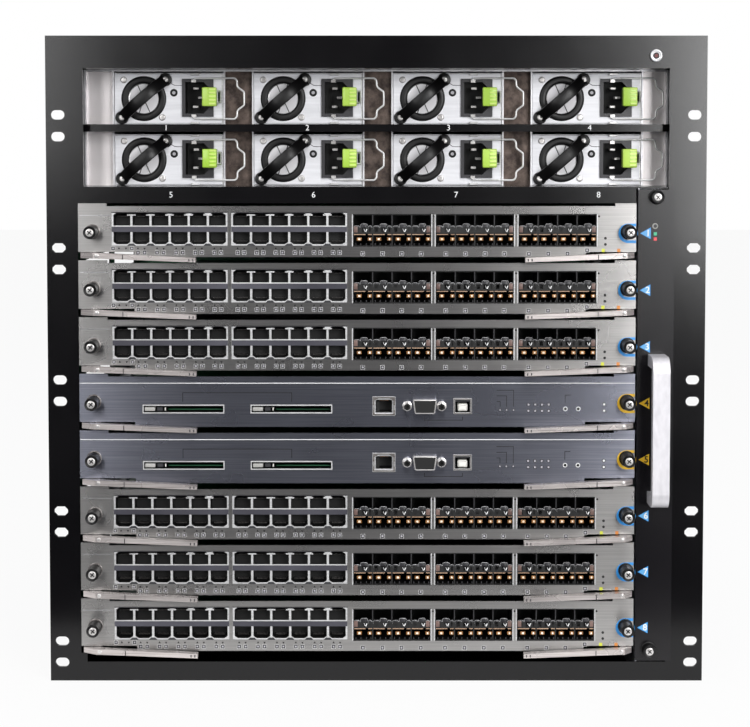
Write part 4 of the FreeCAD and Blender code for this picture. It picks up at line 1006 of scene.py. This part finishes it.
def inlet_details():
    """The inlet's frame and blades, the status lamp, the face screws, the seams, the edge and the
    tabs.
    """
    made, lamp_place = [], (44.2, 23.4)
    for x, z in ((60.4, 26.6), (63.9, 19.8), (60.1, 13.0)):
        blade = block("blade", (x - 2.0, 3.0, z - 0.9), (x + 2.0, 17.5, z + 0.9), 0.35, 2)
        made.append(paint(blade, "screw_steel"))
    rim = block("rim", (50.4, -1.75, 5.4), (74.0, -1.4, 33.8))
    pick(rim, faces_front)
    bpy.ops.mesh.inset(thickness=0.0024)
    bpy.ops.mesh.delete(type="FACE")
    done()
    pick(rim, lambda c, n: n.y > 0.9)
    bpy.ops.mesh.delete(type="FACE")
    done()
    made.append(paint(rim, "inlet_black"))
    lamp = ring("lamp", lamp_place, 2.0, 0.85, -0.2, sides=28, around=8, squash=0.6)
    made.append(paint(smooth(lamp, 60), "knob_black"))
    lens = disc("lens", lamp_place, 1.4, -0.35, 0.1, sides=20)
    soften(lens, 0.3, 2)
    made.append(paint(lens, "lamp_grey"))
    made.append(pan_screw("s", 6.8, 33.0, 2.7, 0.0))
    made.append(pan_screw("s", 35.4, 5.0, 2.7, 0.0))
    for low in (37.3, 0.5):
        line = block("seam", (0.4, -0.12, low), (80.6, 0.1, low + 0.3), 0.04)
        made.append(paint(line, "strut_grey"))
    edge = block("edge", (80.0, -0.2, 0.6), (80.9, 0.1, 37.4), 0.08)
    made.append(paint(edge, "port_rim"))
    for x in (58.5, 61.5):
        for low in (36.2, 0.1):
            tab = block("tab", (x - 1.6, -3.6, low), (x + 1.6, 0.1, low + 1.7), 0.3)
            made.append(paint(tab, "wire_steel"))
    return join(made, "supply_details")


def scribed_tab():
    """The scribed line beside the inlet."""
    points = [(40.4, 37.6), (41.4, 32.4), (42.4, 30.2), (44.4, 29.0), (47, 28.8), (50.4, 28.8)]
    return wire_piece("scribed_tab", [(x, -0.02, z) for x, z in points], 0.22, "recess_black", 2)


def wire_piece(name, points, radius, finish_name, around=3):
    """A bent round wire through the points, rounded where it turns."""
    line = bpy.data.curves.new(name, "CURVE")
    line.dimensions = "3D"
    run = line.splines.new("POLY")
    run.points.add(len(points) - 1)
    for spot, place in zip(run.points, points):
        spot.co = [p * MM for p in place] + [1]
    line.bevel_depth = radius * MM
    line.bevel_resolution = around
    line.use_fill_caps = True
    piece = bpy.data.objects.new(name, line)
    bpy.context.scene.collection.objects.link(piece)
    take(piece)
    bpy.ops.object.convert(target="MESH")
    piece = settle(bpy.context.object, name)
    return paint(smooth(piece, 50), finish_name)


def rounded(points, radius):
    """The points with each corner replaced by a short bend."""
    steps, most = 4, 0.45
    path = [Vector(p) for p in points]
    out = [path[0]]
    for before, corner, after in zip(path, path[1:], path[2:]):
        back, ahead = (before - corner), (after - corner)
        reach = min(radius, back.length * most, ahead.length * most)
        start, end = corner + back.normalized() * reach, corner + ahead.normalized() * reach
        for step in range(steps + 1):
            t = step / steps
            out.append((1 - t) ** 2 * start + 2 * t * (1 - t) * corner + t * t * end)
    return [tuple(p) for p in out + [path[-1]]]


def cord_bail():
    """The wire bail: from its upper clip round the bump and back to the lower clip."""
    half = [(59.4, -2.6, 12.6), (59.4, -2.6, 15.0), (90.0, -3.4, 15.2), (91.7, -3.4, 13.2),
            (91.7, -3.4, 8.8), (96.9, -3.4, 5.0), (97.0, -3.4, 2.8)]
    mirrored = [(x, y, -z) for x, y, z in reversed(half)]
    route = [(x, y, z + SUPPLY_MIDDLE) for x, y, z in half + mirrored]
    return wire_piece("cord_bail", rounded(route, 1.8), 0.72, "wire_steel")


def release_latch():
    """The ribbed green pad, its ribs a lighter green as a painted highlight, and the steel arm
    beside it.
    """
    pad = block("pad", (66.2, -13.4, 13.2), (76.9, -3.8, 27.2), 0.9, 3)
    made = [paint(smooth(pad), "latch_lime")]
    # The ribs take a lighter green than the pad: a painted highlight on their edges.
    rib = block("rib", (71.4, -14.1, 14.3), (76.5, -13.2, 15.8), 0.35, 2)
    repeat(rib, 5, (0, 0, 2.7))
    made.append(paint(rib, "latch_rib"))
    arm = block("arm", (76.6, -5.8, 15.8), (80.0, -4.0, 24.6), 0.3)
    inset_faces(arm, faces_front, (0.6, -0.3))
    made.append(paint(arm, "port_rim"))
    return join(made, "release_latch_pad")


def supply_details():
    strap, guard, inlet, tab = strap_handle(), fan_guard(), inlet_details(), scribed_tab()
    fixed = join([strap, guard, inlet, tab], "supply_front")
    bail, latch = cord_bail(), release_latch()
    number_places = ((40.5, 16.9, 409.0), (45.5, -0.1, 360.0))
    for number in SUPPLIES:
        x, y, z = supply_place(number)
        piece = copy_to(fixed, "supply_front_%d" % number, (x, y, z))
        fit_to(piece, "supply_%d" % number)
        piece = copy_to(latch, "release_latch_pad_%d" % number, (x, y, z))
        fit_to(piece, "latch_%d" % number)
        piece = copy_to(bail, "wire_bail_%d" % number, (x, y, z))
        fit_to(piece, "bail_%d" % number)
        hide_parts("cord_bail_%d" % number)
        across, label_y, label_z = number_places[(number - 1) // SUPPLY_COLUMNS]
        label = numeral("bay_number_%d" % number, str(number), x + across, label_y, label_z, 4.4,
                        "print_white")
        fit_to(label, "chassis")
    discard(fixed, bail, latch)


# ---- Numbers
def numeral(name, text, x, y, z, high, finish_name, bold=0.0):
    """A plain number, flat on a face that looks forward."""
    size_to_height = 1.38
    deselect()
    bpy.ops.object.text_add(rotation=(math.pi / 2, 0, 0))
    piece = bpy.context.object
    piece.data.body = text
    piece.data.align_x = "CENTER"
    piece.data.align_y = "CENTER"
    piece.data.size = high * size_to_height * MM
    piece.data.resolution_u = 4
    piece.data.extrude = 0.03 * MM
    piece.data.offset = bold * MM
    bpy.ops.object.convert(target="MESH")
    piece = bpy.context.object
    piece.location = (x * MM, y * MM, z * MM)
    settle(piece, name)
    return paint(piece, finish_name)


# ---- Fan tray
def slot_pointer(slot):
    """The printed triangle that points at a slot, with the slot's number."""
    z = card_z(slot) - RING_DROP
    special = slot in MANAGEMENT_SLOTS
    sign = turn(disc("sign", (0, 0), 5.2, -1.6, -1.15, sides=3), -90, "Y", (0, 0, 0))
    sign.scale = (1, 1, 0.95)
    copy_to_place(sign, (198.1, 0, z))
    inset_faces(sign, faces_front, (0.4, 0))
    paint(sign, slot_colour(slot), "sign_light",
          by=lambda c, n: int(not special and faces_front(c, n)
                              and 193.9 < c.x < 199.9 and abs(c.z - z) < 1.0))
    digit = numeral("digit", str(slot), 198.7, -1.75, z, 4.8,
                    "print_black" if special else "print_white", 0.12)
    return join([sign, digit], "slot_pointer_%d" % slot)


def tray_details():
    master = captive_screw("tray_screw", SCREW_RADIUS, 8.4, "knob_black")
    for number, (x, z) in enumerate(((204.8, 358.6), (201.3, 24.0)), start=1):
        piece = copy_to(master, "tray_screw_%d" % number, (x, -1.2, z))
        fit_to(piece, "fan_tray")
    discard(master)
    for slot in CARD_SLOTS:
        fit_to(slot_pointer(slot), "fan_tray")
    lamp_place = (203.9, 337.3)
    lamp = ring("lamp", lamp_place, 1.7, 0.5, -1.4, sides=24, around=8)
    paint(smooth(lamp, 60), "button_grey")
    lens = disc("lens", lamp_place, 1.4, -1.8, -1.2, sides=20)
    soften(lens, 0.3, 2)
    paint(lens, "connector_grey")
    marks = [lamp, lens]
    for z, name in ((331.6, "lamp_green"), (327.8, "lamp_red")):
        mark = block("mark", (202.8, -1.75, z - 1.2), (205.2, -1.2, z + 1.2), 0.1)
        marks.append(paint(mark, name))
    fit_to(join(marks, "tray_lamps"), "fan_tray")


# ---- Management cards
def thin_line(start, end, wide, finish_name):
    """A level or upright printed line on a face plate."""
    half = wide / 2
    low = (min(start[0], end[0]) - half, PLATE_FRONT - 0.06, min(start[1], end[1]) - half)
    high = (max(start[0], end[0]) + half, PRINT_BACK, max(start[1], end[1]) + half)
    return paint(block("line", low, high), finish_name)


def bracket(*corners):
    """Printed lines from corner to corner."""
    return [thin_line(a, b, 0.45, "print_black") for a, b in zip(corners, corners[1:])]


def pilot(x, z, radius, rim_finish, lens_finish):
    """A small round lamp or hole in its rim."""
    rim = ring("rim", (x, z), radius, radius * 0.28, PLATE_FRONT - 0.02, sides=20, around=6)
    lens = disc("lens", (x, z), radius * 0.9, PLATE_FRONT - 0.12, PRINT_BACK, sides=16)
    return [paint(smooth(rim, 60), rim_finish), paint(lens, lens_finish)]


def memory_slot(left):
    """The bright rim of a memory card slot, its eject button, latch and guide rail."""
    rim = block("rim", (left - 0.8, -2.3, -8.6), (left + 59.4, -1.65, -2.0))
    carve(rim, block("hole", (left + 0.1, -4, -7.7), (left + 58.5, 0, -2.9)))
    soften(rim, 0.12)
    made = [paint(rim, "port_rim")]
    button = block("button", (left + 0.9, -3.0, -6.7), (left + 8.4, 5.0, -3.9), 0.5, 2)
    made.append(paint(smooth(button), "button_grey"))
    stop = block("stop", (left + 9.6, -0.6, -6.9), (left + 14.0, 3.0, -4.0), 0.3)
    made.append(paint(stop, "connector_grey"))
    tip = block("tip", (left + 15.4, -1.0, -6.6), (left + 16.3, 1.0, -4.3), 0.2)
    made.append(paint(tip, "socket_white"))
    rail = block("rail", (left + 18.0, 2.0, -6.3), (left + 58.0, 3.0, -5.6), 0.1)
    made.append(paint(rail, "board_green"))
    return made


def network_jack():
    """The shielded network socket of a management card."""
    frame_piece = block("frame", (-2.9, -2.5, -10.2), (14.1, -1.65, 4.0))
    hole = socket_hole("hole", -0.9, -8.5, 13.0, 9.2, 2.6, 1.6, -5, 3, keys=(1,))
    carve(frame_piece, hole)
    soften(frame_piece, 0.35, 2)
    made = [paint(frame_piece, "port_rim", "cage_tin", by=lambda c, n: int(n.y < -0.98))]
    shelf = block("shelf", (0.2, 0.5, -7.5), (2.2, 10, 0.0))
    made.append(paint(shelf, "socket_black"))
    pins = repeat(block("pins", (2.4, 3.0, 0.2), (2.8, 10, 0.7)), 8, (0.85, 0, 0))
    made.append(paint(pins, "contact_gold"))
    for x in (-2.3, 12.9):
        tab = block("tab", (x, -3.1, -6.0), (x + 0.6, -2.4, -2.4), 0.15)
        made.append(paint(tab, "shield_tin"))
    return made


def serial_connector():
    """The flared steel shell with its dark insert, between two hexagonal jack posts."""
    shell_middle, post_z = 35.6, -3.1
    shell = block("shell", (26.6, -7.4, -8.5), (44.6, -1.9, 2.3))
    pick(shell, lambda c, n: n.z < -0.9)
    bpy.ops.transform.resize(value=(0.83, 1, 1), center_override=(shell_middle * MM, 0, 0))
    done()
    soften(shell, 1.2, 3)
    inset_faces(shell, faces_front, (0.3, 0), (0.3, -2.2))
    made = [paint(smooth(shell, 50), "screw_steel", "socket_black",
                  by=lambda c, n: int(faces_front(c, n) and -5.6 < c.y < -4))]
    insert = block("insert", (29.6, -6.3, -6.2), (41.6, -5.0, -0.4), 0.5, 2)
    made.append(paint(smooth(insert), "inlet_black"))
    for x in (22.7, 47.9):
        post = disc("post", (x, post_z), 3.1, -7.0, -1.9, sides=6)
        soften(post, 0.35, 2)
        carve(post, disc("bore", (x, post_z), 1.3, -9, -4, sides=20))
        made.append(paint(smooth(post, 25), "screw_steel", "recess_black",
                          by=lambda c, n, x=x: int(math.hypot(c.x - x, c.z - post_z) < 1.42)))
        washer = disc("washer", (x, post_z), 3.7, -2.6, -1.9, sides=28)
        made.append(paint(soften_to(washer, 0.2), "screw_steel"))
    return made


def soften_to(piece, width):
    """Bevels the piece and shades it smooth."""
    soften(piece, width, 2)
    return smooth(piece)


def square_socket():
    """The square data socket: a steel rim round a white core."""
    rim = block("rim", (56.6, -2.6, -9.0), (70.2, -1.65, 2.8))
    carve(rim, block("hole", (57.9, -4, -7.7), (68.9, 0, 1.5)))
    soften(rim, 0.25, 2)
    core = block("core", (59.8, -1.6, -6.9), (67.0, 8.0, -1.5), 0.9, 3)
    inset_faces(core, faces_front, (0.9, 0), (0.2, -0.6))
    lip = block("lip", (58.4, -1.9, 0.2), (68.4, -1.2, 0.9), 0.2)
    paint(rim, "port_rim", "cage_tin", by=lambda c, n: int(n.y < -0.98))
    return [rim, paint(smooth(core), "socket_white"),
            paint(lip, "strut_grey")]


def management_details():
    # The white line near the plate's top is a painted highlight, drawn as a printed line.
    made = [thin_line((-217.4, 13.8), (189.4, 13.8), 0.55, "print_white")]
    for left in (-171.0, -91.7):
        made += memory_slot(left)
    made += network_jack() + serial_connector() + square_socket()
    made += bracket((-142.2, 0.4), (-142.2, 6.7), (-62.2, 6.7), (-62.2, 0.4))
    made += bracket((35.4, -11.2), (35.4, -13.5), (63.4, -13.5), (63.4, -11.2))
    for x, top in ((91.0, 0.2), (95.7, 4.4), (100.8, 8.6)):
        made += bracket((x, -3.4), (x, top), (88.6, top))
        made += pilot(x, -6.0, 0.75, "print_black", "lamp_grey")
    for x in (111.8, 116.75, 121.75, 126.7):
        for z in (-2.0, -6.6):
            made += pilot(x, z, 1.0, "strut_grey", "lamp_grey")
    made += bracket((138.7, -0.8), (138.7, 5.0), (142.6, 5.0))
    for x in (138.9, 148.35):
        made += pilot(x, -5.2, 1.35, "print_white", "recess_black")
    for z in (-1.8, -6.5):
        made += pilot(167.4, z, 1.1, "strut_grey", "print_white")
    master = join(made, "management_details")
    for slot in MANAGEMENT_SLOTS:
        piece = copy_to(master, "management_card_details_%d" % slot, (0, 0, card_z(slot)))
        fit_to(piece, "card_%d" % slot)
    discard(master)


# ---- Levers
def lever_details(word, pivot, sign):
    """The pivot pin, the joint across the arm and the two rivets at its tip."""
    pin = disc("pin", (pivot + 3.0 * sign, -17.1), 1.5, -11.5, -10.0, sides=20)
    made = [paint(soften_to(pin, 0.3), "screw_steel")]
    seam = block("seam", (pivot + 21.6 * sign, -11.2, -19.9), (pivot + 22.2 * sign, -10.0, -16.3))
    made.append(paint(seam, "print_black"))
    for reach in (70.2, 73.0):
        rivet = block("rivet", (pivot + reach * sign - 0.4, -11.4, -21.3),
                      (pivot + reach * sign + 0.4, -10.5, -19.4), 0.2)
        made.append(paint(rivet, "strut_grey"))
    master = join(made, "lever_details")
    for slot in CARD_SLOTS:
        piece = copy_to(master, "ejector_details_%s_%d" % (word, slot), (0, 0, card_z(slot)))
        fit_to(piece, "lever_%s_%d" % (word, slot))
    discard(master)


# ---- Case
def header_jack():
    """The ringed socket for a wrist strap in the header's right end."""
    centre = (JACK_X, JACK_Z)
    rim = ring("rim", centre, 3.7, 0.95, -1.7, sides=36, around=10, squash=0.8)
    cup = disc("cup", centre, 3.2, -2.0, -0.5, sides=28, tip=2.0)
    core = disc("core", centre, 1.3, -2.3, -1.0, sides=20)
    made = [paint(smooth(rim, 60), "shield_tin"), paint(smooth(cup), "knob_black"),
            paint(core, "jack_red")]
    fit_to(join(made, "wrist_strap_jack"), "chassis")


# ---- Stage
def area_light(name, place, look_at, size, power):
    """A white sheet of light at a place, turned towards a point, in metres and watts."""
    data = bpy.data.lights.new(name, "AREA")
    data.shape = "RECTANGLE"
    data.size, data.size_y = size
    data.energy = power
    lamp = bpy.data.objects.new(name, data)
    bpy.context.scene.collection.objects.link(lamp)
    lamp.location = place
    lamp.rotation_euler = (Vector(look_at) - Vector(place)).to_track_quat("-Z", "Y").to_euler()


def shares(tree, *rays):
    """One where a ray is of one of the kinds named, else nought."""
    path = tree.nodes.new("ShaderNodeLightPath")
    total = path.outputs[rays[0]]
    for ray in rays[1:]:
        both = tree.nodes.new("ShaderNodeMath")
        both.operation = "MAXIMUM"
        link(tree, total, both.inputs[0])
        link(tree, path.outputs[ray], both.inputs[1])
        total = both.outputs[0]
    return total


def blend(tree, share, first, second):
    """The first shader, or the second where the share is one."""
    mix = tree.nodes.new("ShaderNodeMixShader")
    link(tree, share, mix.inputs["Fac"])
    link(tree, first, mix.inputs[1])
    link(tree, second, mix.inputs[2])
    return mix.outputs[0]


def build_world(strength):
    """White behind the object, a dim room before it in reflections, and a soft even fill."""
    world = bpy.data.worlds.new("studio")
    bpy.context.scene.world = world
    world.use_nodes = True
    tree = world.node_tree
    tree.nodes.clear()
    out = tree.nodes.new("ShaderNodeOutputWorld")
    room_share, room_until, white_from = 0.25, -0.25, 0.35
    levels = {}
    for name, colour, level in (("white", (1, 1, 1, 1), 1.0),
                                ("fill", (0.93, 0.95, 1, 1), strength),
                                ("room", (0.9, 0.92, 1, 1), strength * room_share)):
        levels[name] = tree.nodes.new("ShaderNodeBackground")
        levels[name].inputs["Color"].default_value = colour
        levels[name].inputs["Strength"].default_value = level
    place = tree.nodes.new("ShaderNodeTexCoord")
    parts = tree.nodes.new("ShaderNodeSeparateXYZ")
    link(tree, place.outputs["Generated"], parts.inputs[0])
    behind = tree.nodes.new("ShaderNodeMapRange")
    behind.inputs["From Min"].default_value = room_until
    behind.inputs["From Max"].default_value = white_from
    link(tree, parts.outputs["Y"], behind.inputs["Value"])
    mirrored = blend(tree, behind.outputs["Result"], levels["room"].outputs[0],
                     levels["white"].outputs[0])
    other = blend(tree, shares(tree, "Is Glossy Ray", "Is Transmission Ray"),
                  levels["fill"].outputs[0], mirrored)
    seen = blend(tree, shares(tree, "Is Camera Ray"), other, levels["white"].outputs[0])
    link(tree, seen, out.inputs["Surface"])


def build_floor():
    """A wide matt floor that looks nearly as white as the background."""
    wide, deep, front, white_share = 9, 8, -0.18, 0.93
    deselect()
    bpy.ops.mesh.primitive_plane_add(size=1, location=(0, front + deep / 2, 0))
    floor = bpy.context.object
    floor.scale = (wide, deep, 1)
    settle(floor, "floor")
    tree, surface = new_material("floor_white")
    surface.inputs["Base Color"].default_value = (0.9, 0.9, 0.9, 1)
    surface.inputs["Roughness"].default_value = 0.7
    glow = tree.nodes.new("ShaderNodeEmission")
    share = tree.nodes.new("ShaderNodeMath")
    share.operation = "MULTIPLY"
    share.inputs[1].default_value = white_share
    rays = shares(tree, "Is Camera Ray", "Is Glossy Ray", "Is Transmission Ray")
    link(tree, rays, share.inputs[0])
    seen = blend(tree, share.outputs[0], surface.outputs[0], glow.outputs[0])
    link(tree, seen, tree.nodes["Material Output"].inputs["Surface"])
    paint(floor, "floor_white")


def build_lamps(light):
    """A high sheet before the chassis, one on each side and one above it."""
    left_share, top_share = 0.42, 0.5
    area_light("high", (0.45, -1.3, 2.1), (0, 0, 0.25), (1.4, 1.0), light.key_power)
    area_light("right_sheet", (0.96, -2.2, 0.75), (0, 0, 0.3), (0.9, 1.2), light.side_power)
    area_light("left_sheet", (-0.96, -2.2, 0.86), (0, 0, 0.3), (0.9, 1.08),
               light.side_power * left_share)
    area_light("top", (0, 0.3, 1.9), (0, 0.2, 0.4), (1.4, 1.4), light.key_power * top_share)


def build_camera():
    """A camera tilted a little down, whose shift puts the chassis where the photo has it."""
    distance, eye, pitch = 1.53, 0.40, math.radians(3.5)
    middle = Vector((-0.00096, 0, 0.2362))
    photo_pixels, pixels_per_metre = 750, 1361
    picture_wide = photo_pixels / pixels_per_metre
    camera = bpy.data.cameras.new("camera")
    holder = bpy.data.objects.new("camera", camera)
    bpy.context.scene.collection.objects.link(holder)
    holder.location = (middle.x, -distance, eye)
    holder.rotation_euler = (math.pi / 2 - pitch, 0, 0)
    drop = math.atan((eye - middle.z) / distance)
    reach = math.hypot(distance, eye - middle.z) * math.cos(drop - pitch)
    camera.lens = camera.sensor_width * reach / picture_wide
    camera.shift_y = -math.tan(drop - pitch) * camera.lens / camera.sensor_width
    camera.clip_start, camera.clip_end = 0.05, 30
    bpy.context.scene.camera = holder


def build_stage(light):
    build_world(light.world_light)
    build_floor()
    build_lamps(light)
    build_camera()
    bpy.context.scene.view_settings.view_transform = "Standard"


# ---- Settings
class ChassisColours(bpy.types.PropertyGroup):
    ring_blue: bpy.props.FloatVectorProperty(
        name="Line card ring", description="Colour of the rings on line cards",
        subtype="COLOR", default=shade("3496e2")[:3], min=0, max=1)
    ring_yellow: bpy.props.FloatVectorProperty(
        name="Management ring", description="Colour of the rings on management cards",
        subtype="COLOR", default=shade("f2c128")[:3], min=0, max=1)
    nickel: bpy.props.FloatVectorProperty(
        name="Line card plate", description="Light tone of the line cards' plates",
        subtype="COLOR", default=shade("b9b7b5")[:3], min=0, max=1)
    slate: bpy.props.FloatVectorProperty(
        name="Management plate", description="Light tone of the management cards",
        subtype="COLOR", default=shade("a2a4b1")[:3], min=0, max=1)


class StudioLight(bpy.types.PropertyGroup):
    key_power: bpy.props.FloatProperty(
        name="Key light", description="Power of the light from above",
        default=18.0, unit="POWER")
    side_power: bpy.props.FloatProperty(
        name="Side light", description="Power of the sheet on the right",
        default=37.0, unit="POWER")
    world_light: bpy.props.FloatProperty(
        name="World light", description="Strength of the light from all round",
        default=0.26)


# ---- Operators
class CHASSIS_OT_finishes(bpy.types.Operator):
    """Make the finishes and give them to the parts of the case, cards, supplies and tray"""

    bl_idname = "chassis.finishes"
    bl_label = "Finishes"

    def execute(self, context):
        make_finishes(context.scene.chassis_colours)
        dress_case()
        dress_cards()
        dress_supplies()
        dress_tray()
        return {"FINISHED"}


class CHASSIS_OT_screws(bpy.types.Operator):
    """Put the knurled captive screws on the cards"""

    bl_idname = "chassis.screws"
    bl_label = "Captive screws"

    def execute(self, context):
        screws()
        return {"FINISHED"}


class CHASSIS_OT_cards(bpy.types.Operator):
    """Add the shields, cages, windows and printed rings of the cards"""

    bl_idname = "chassis.cards"
    bl_label = "Card details"

    def execute(self, context):
        card_details()
        return {"FINISHED"}


class CHASSIS_OT_management(bpy.types.Operator):
    """Add the sockets, lamps and printed brackets of the management cards"""

    bl_idname = "chassis.management"
    bl_label = "Management card details"

    def execute(self, context):
        management_details()
        return {"FINISHED"}


class CHASSIS_OT_levers(bpy.types.Operator):
    """Add the pins, joints and rivets of the ejector levers"""

    bl_idname = "chassis.levers"
    bl_label = "Lever details"

    def execute(self, context):
        lever_details("left", LEVER_LEFT_X, 1)
        lever_details("right", LEVER_RIGHT_X, -1)
        return {"FINISHED"}


class CHASSIS_OT_supplies(bpy.types.Operator):
    """Add the straps, fan guards, inlets, bails and latches of the supplies"""

    bl_idname = "chassis.supplies"
    bl_label = "Supply details"

    def execute(self, context):
        supply_details()
        return {"FINISHED"}


class CHASSIS_OT_tray(bpy.types.Operator):
    """Add the fan tray's screws, lamps and slot pointers, and the header's jack"""

    bl_idname = "chassis.tray"
    bl_label = "Tray and header details"

    def execute(self, context):
        tray_details()
        header_jack()
        return {"FINISHED"}


class CHASSIS_OT_stage(bpy.types.Operator):
    """Set up the floor, the lights and the camera"""

    bl_idname = "chassis.stage"
    bl_label = "Stage"

    def execute(self, context):
        build_stage(context.scene.studio_light)
        return {"FINISHED"}


class CHASSIS_PT_build(bpy.types.Panel):
    """Lists the steps that dress the chassis"""

    bl_idname = "CHASSIS_PT_build"
    bl_label = "Chassis"
    bl_space_type = "VIEW_3D"
    bl_region_type = "UI"
    bl_category = "Chassis"

    def draw(self, context):
        for operator in OPERATORS:
            self.layout.operator(operator.bl_idname)
        for settings in (context.scene.chassis_colours, context.scene.studio_light):
            for field in settings.__annotations__:
                self.layout.prop(settings, field)


OPERATORS = (CHASSIS_OT_finishes, CHASSIS_OT_screws, CHASSIS_OT_cards, CHASSIS_OT_management,
             CHASSIS_OT_levers, CHASSIS_OT_supplies, CHASSIS_OT_tray, CHASSIS_OT_stage)
CLASSES = (ChassisColours, StudioLight, *OPERATORS, CHASSIS_PT_build)


def register():
    for item in CLASSES:
        bpy.utils.register_class(item)
    bpy.types.Scene.chassis_colours = bpy.props.PointerProperty(type=ChassisColours)
    bpy.types.Scene.studio_light = bpy.props.PointerProperty(type=StudioLight)


def unregister():
    del bpy.types.Scene.studio_light
    del bpy.types.Scene.chassis_colours
    for item in reversed(CLASSES):
        bpy.utils.unregister_class(item)


def main():
    register()
    bpy.ops.chassis.finishes()
    bpy.ops.chassis.screws()
    bpy.ops.chassis.cards()
    bpy.ops.chassis.management()
    bpy.ops.chassis.levers()
    bpy.ops.chassis.supplies()
    bpy.ops.chassis.tray()
    bpy.ops.chassis.stage()


if __name__ == "__main__":
    main()
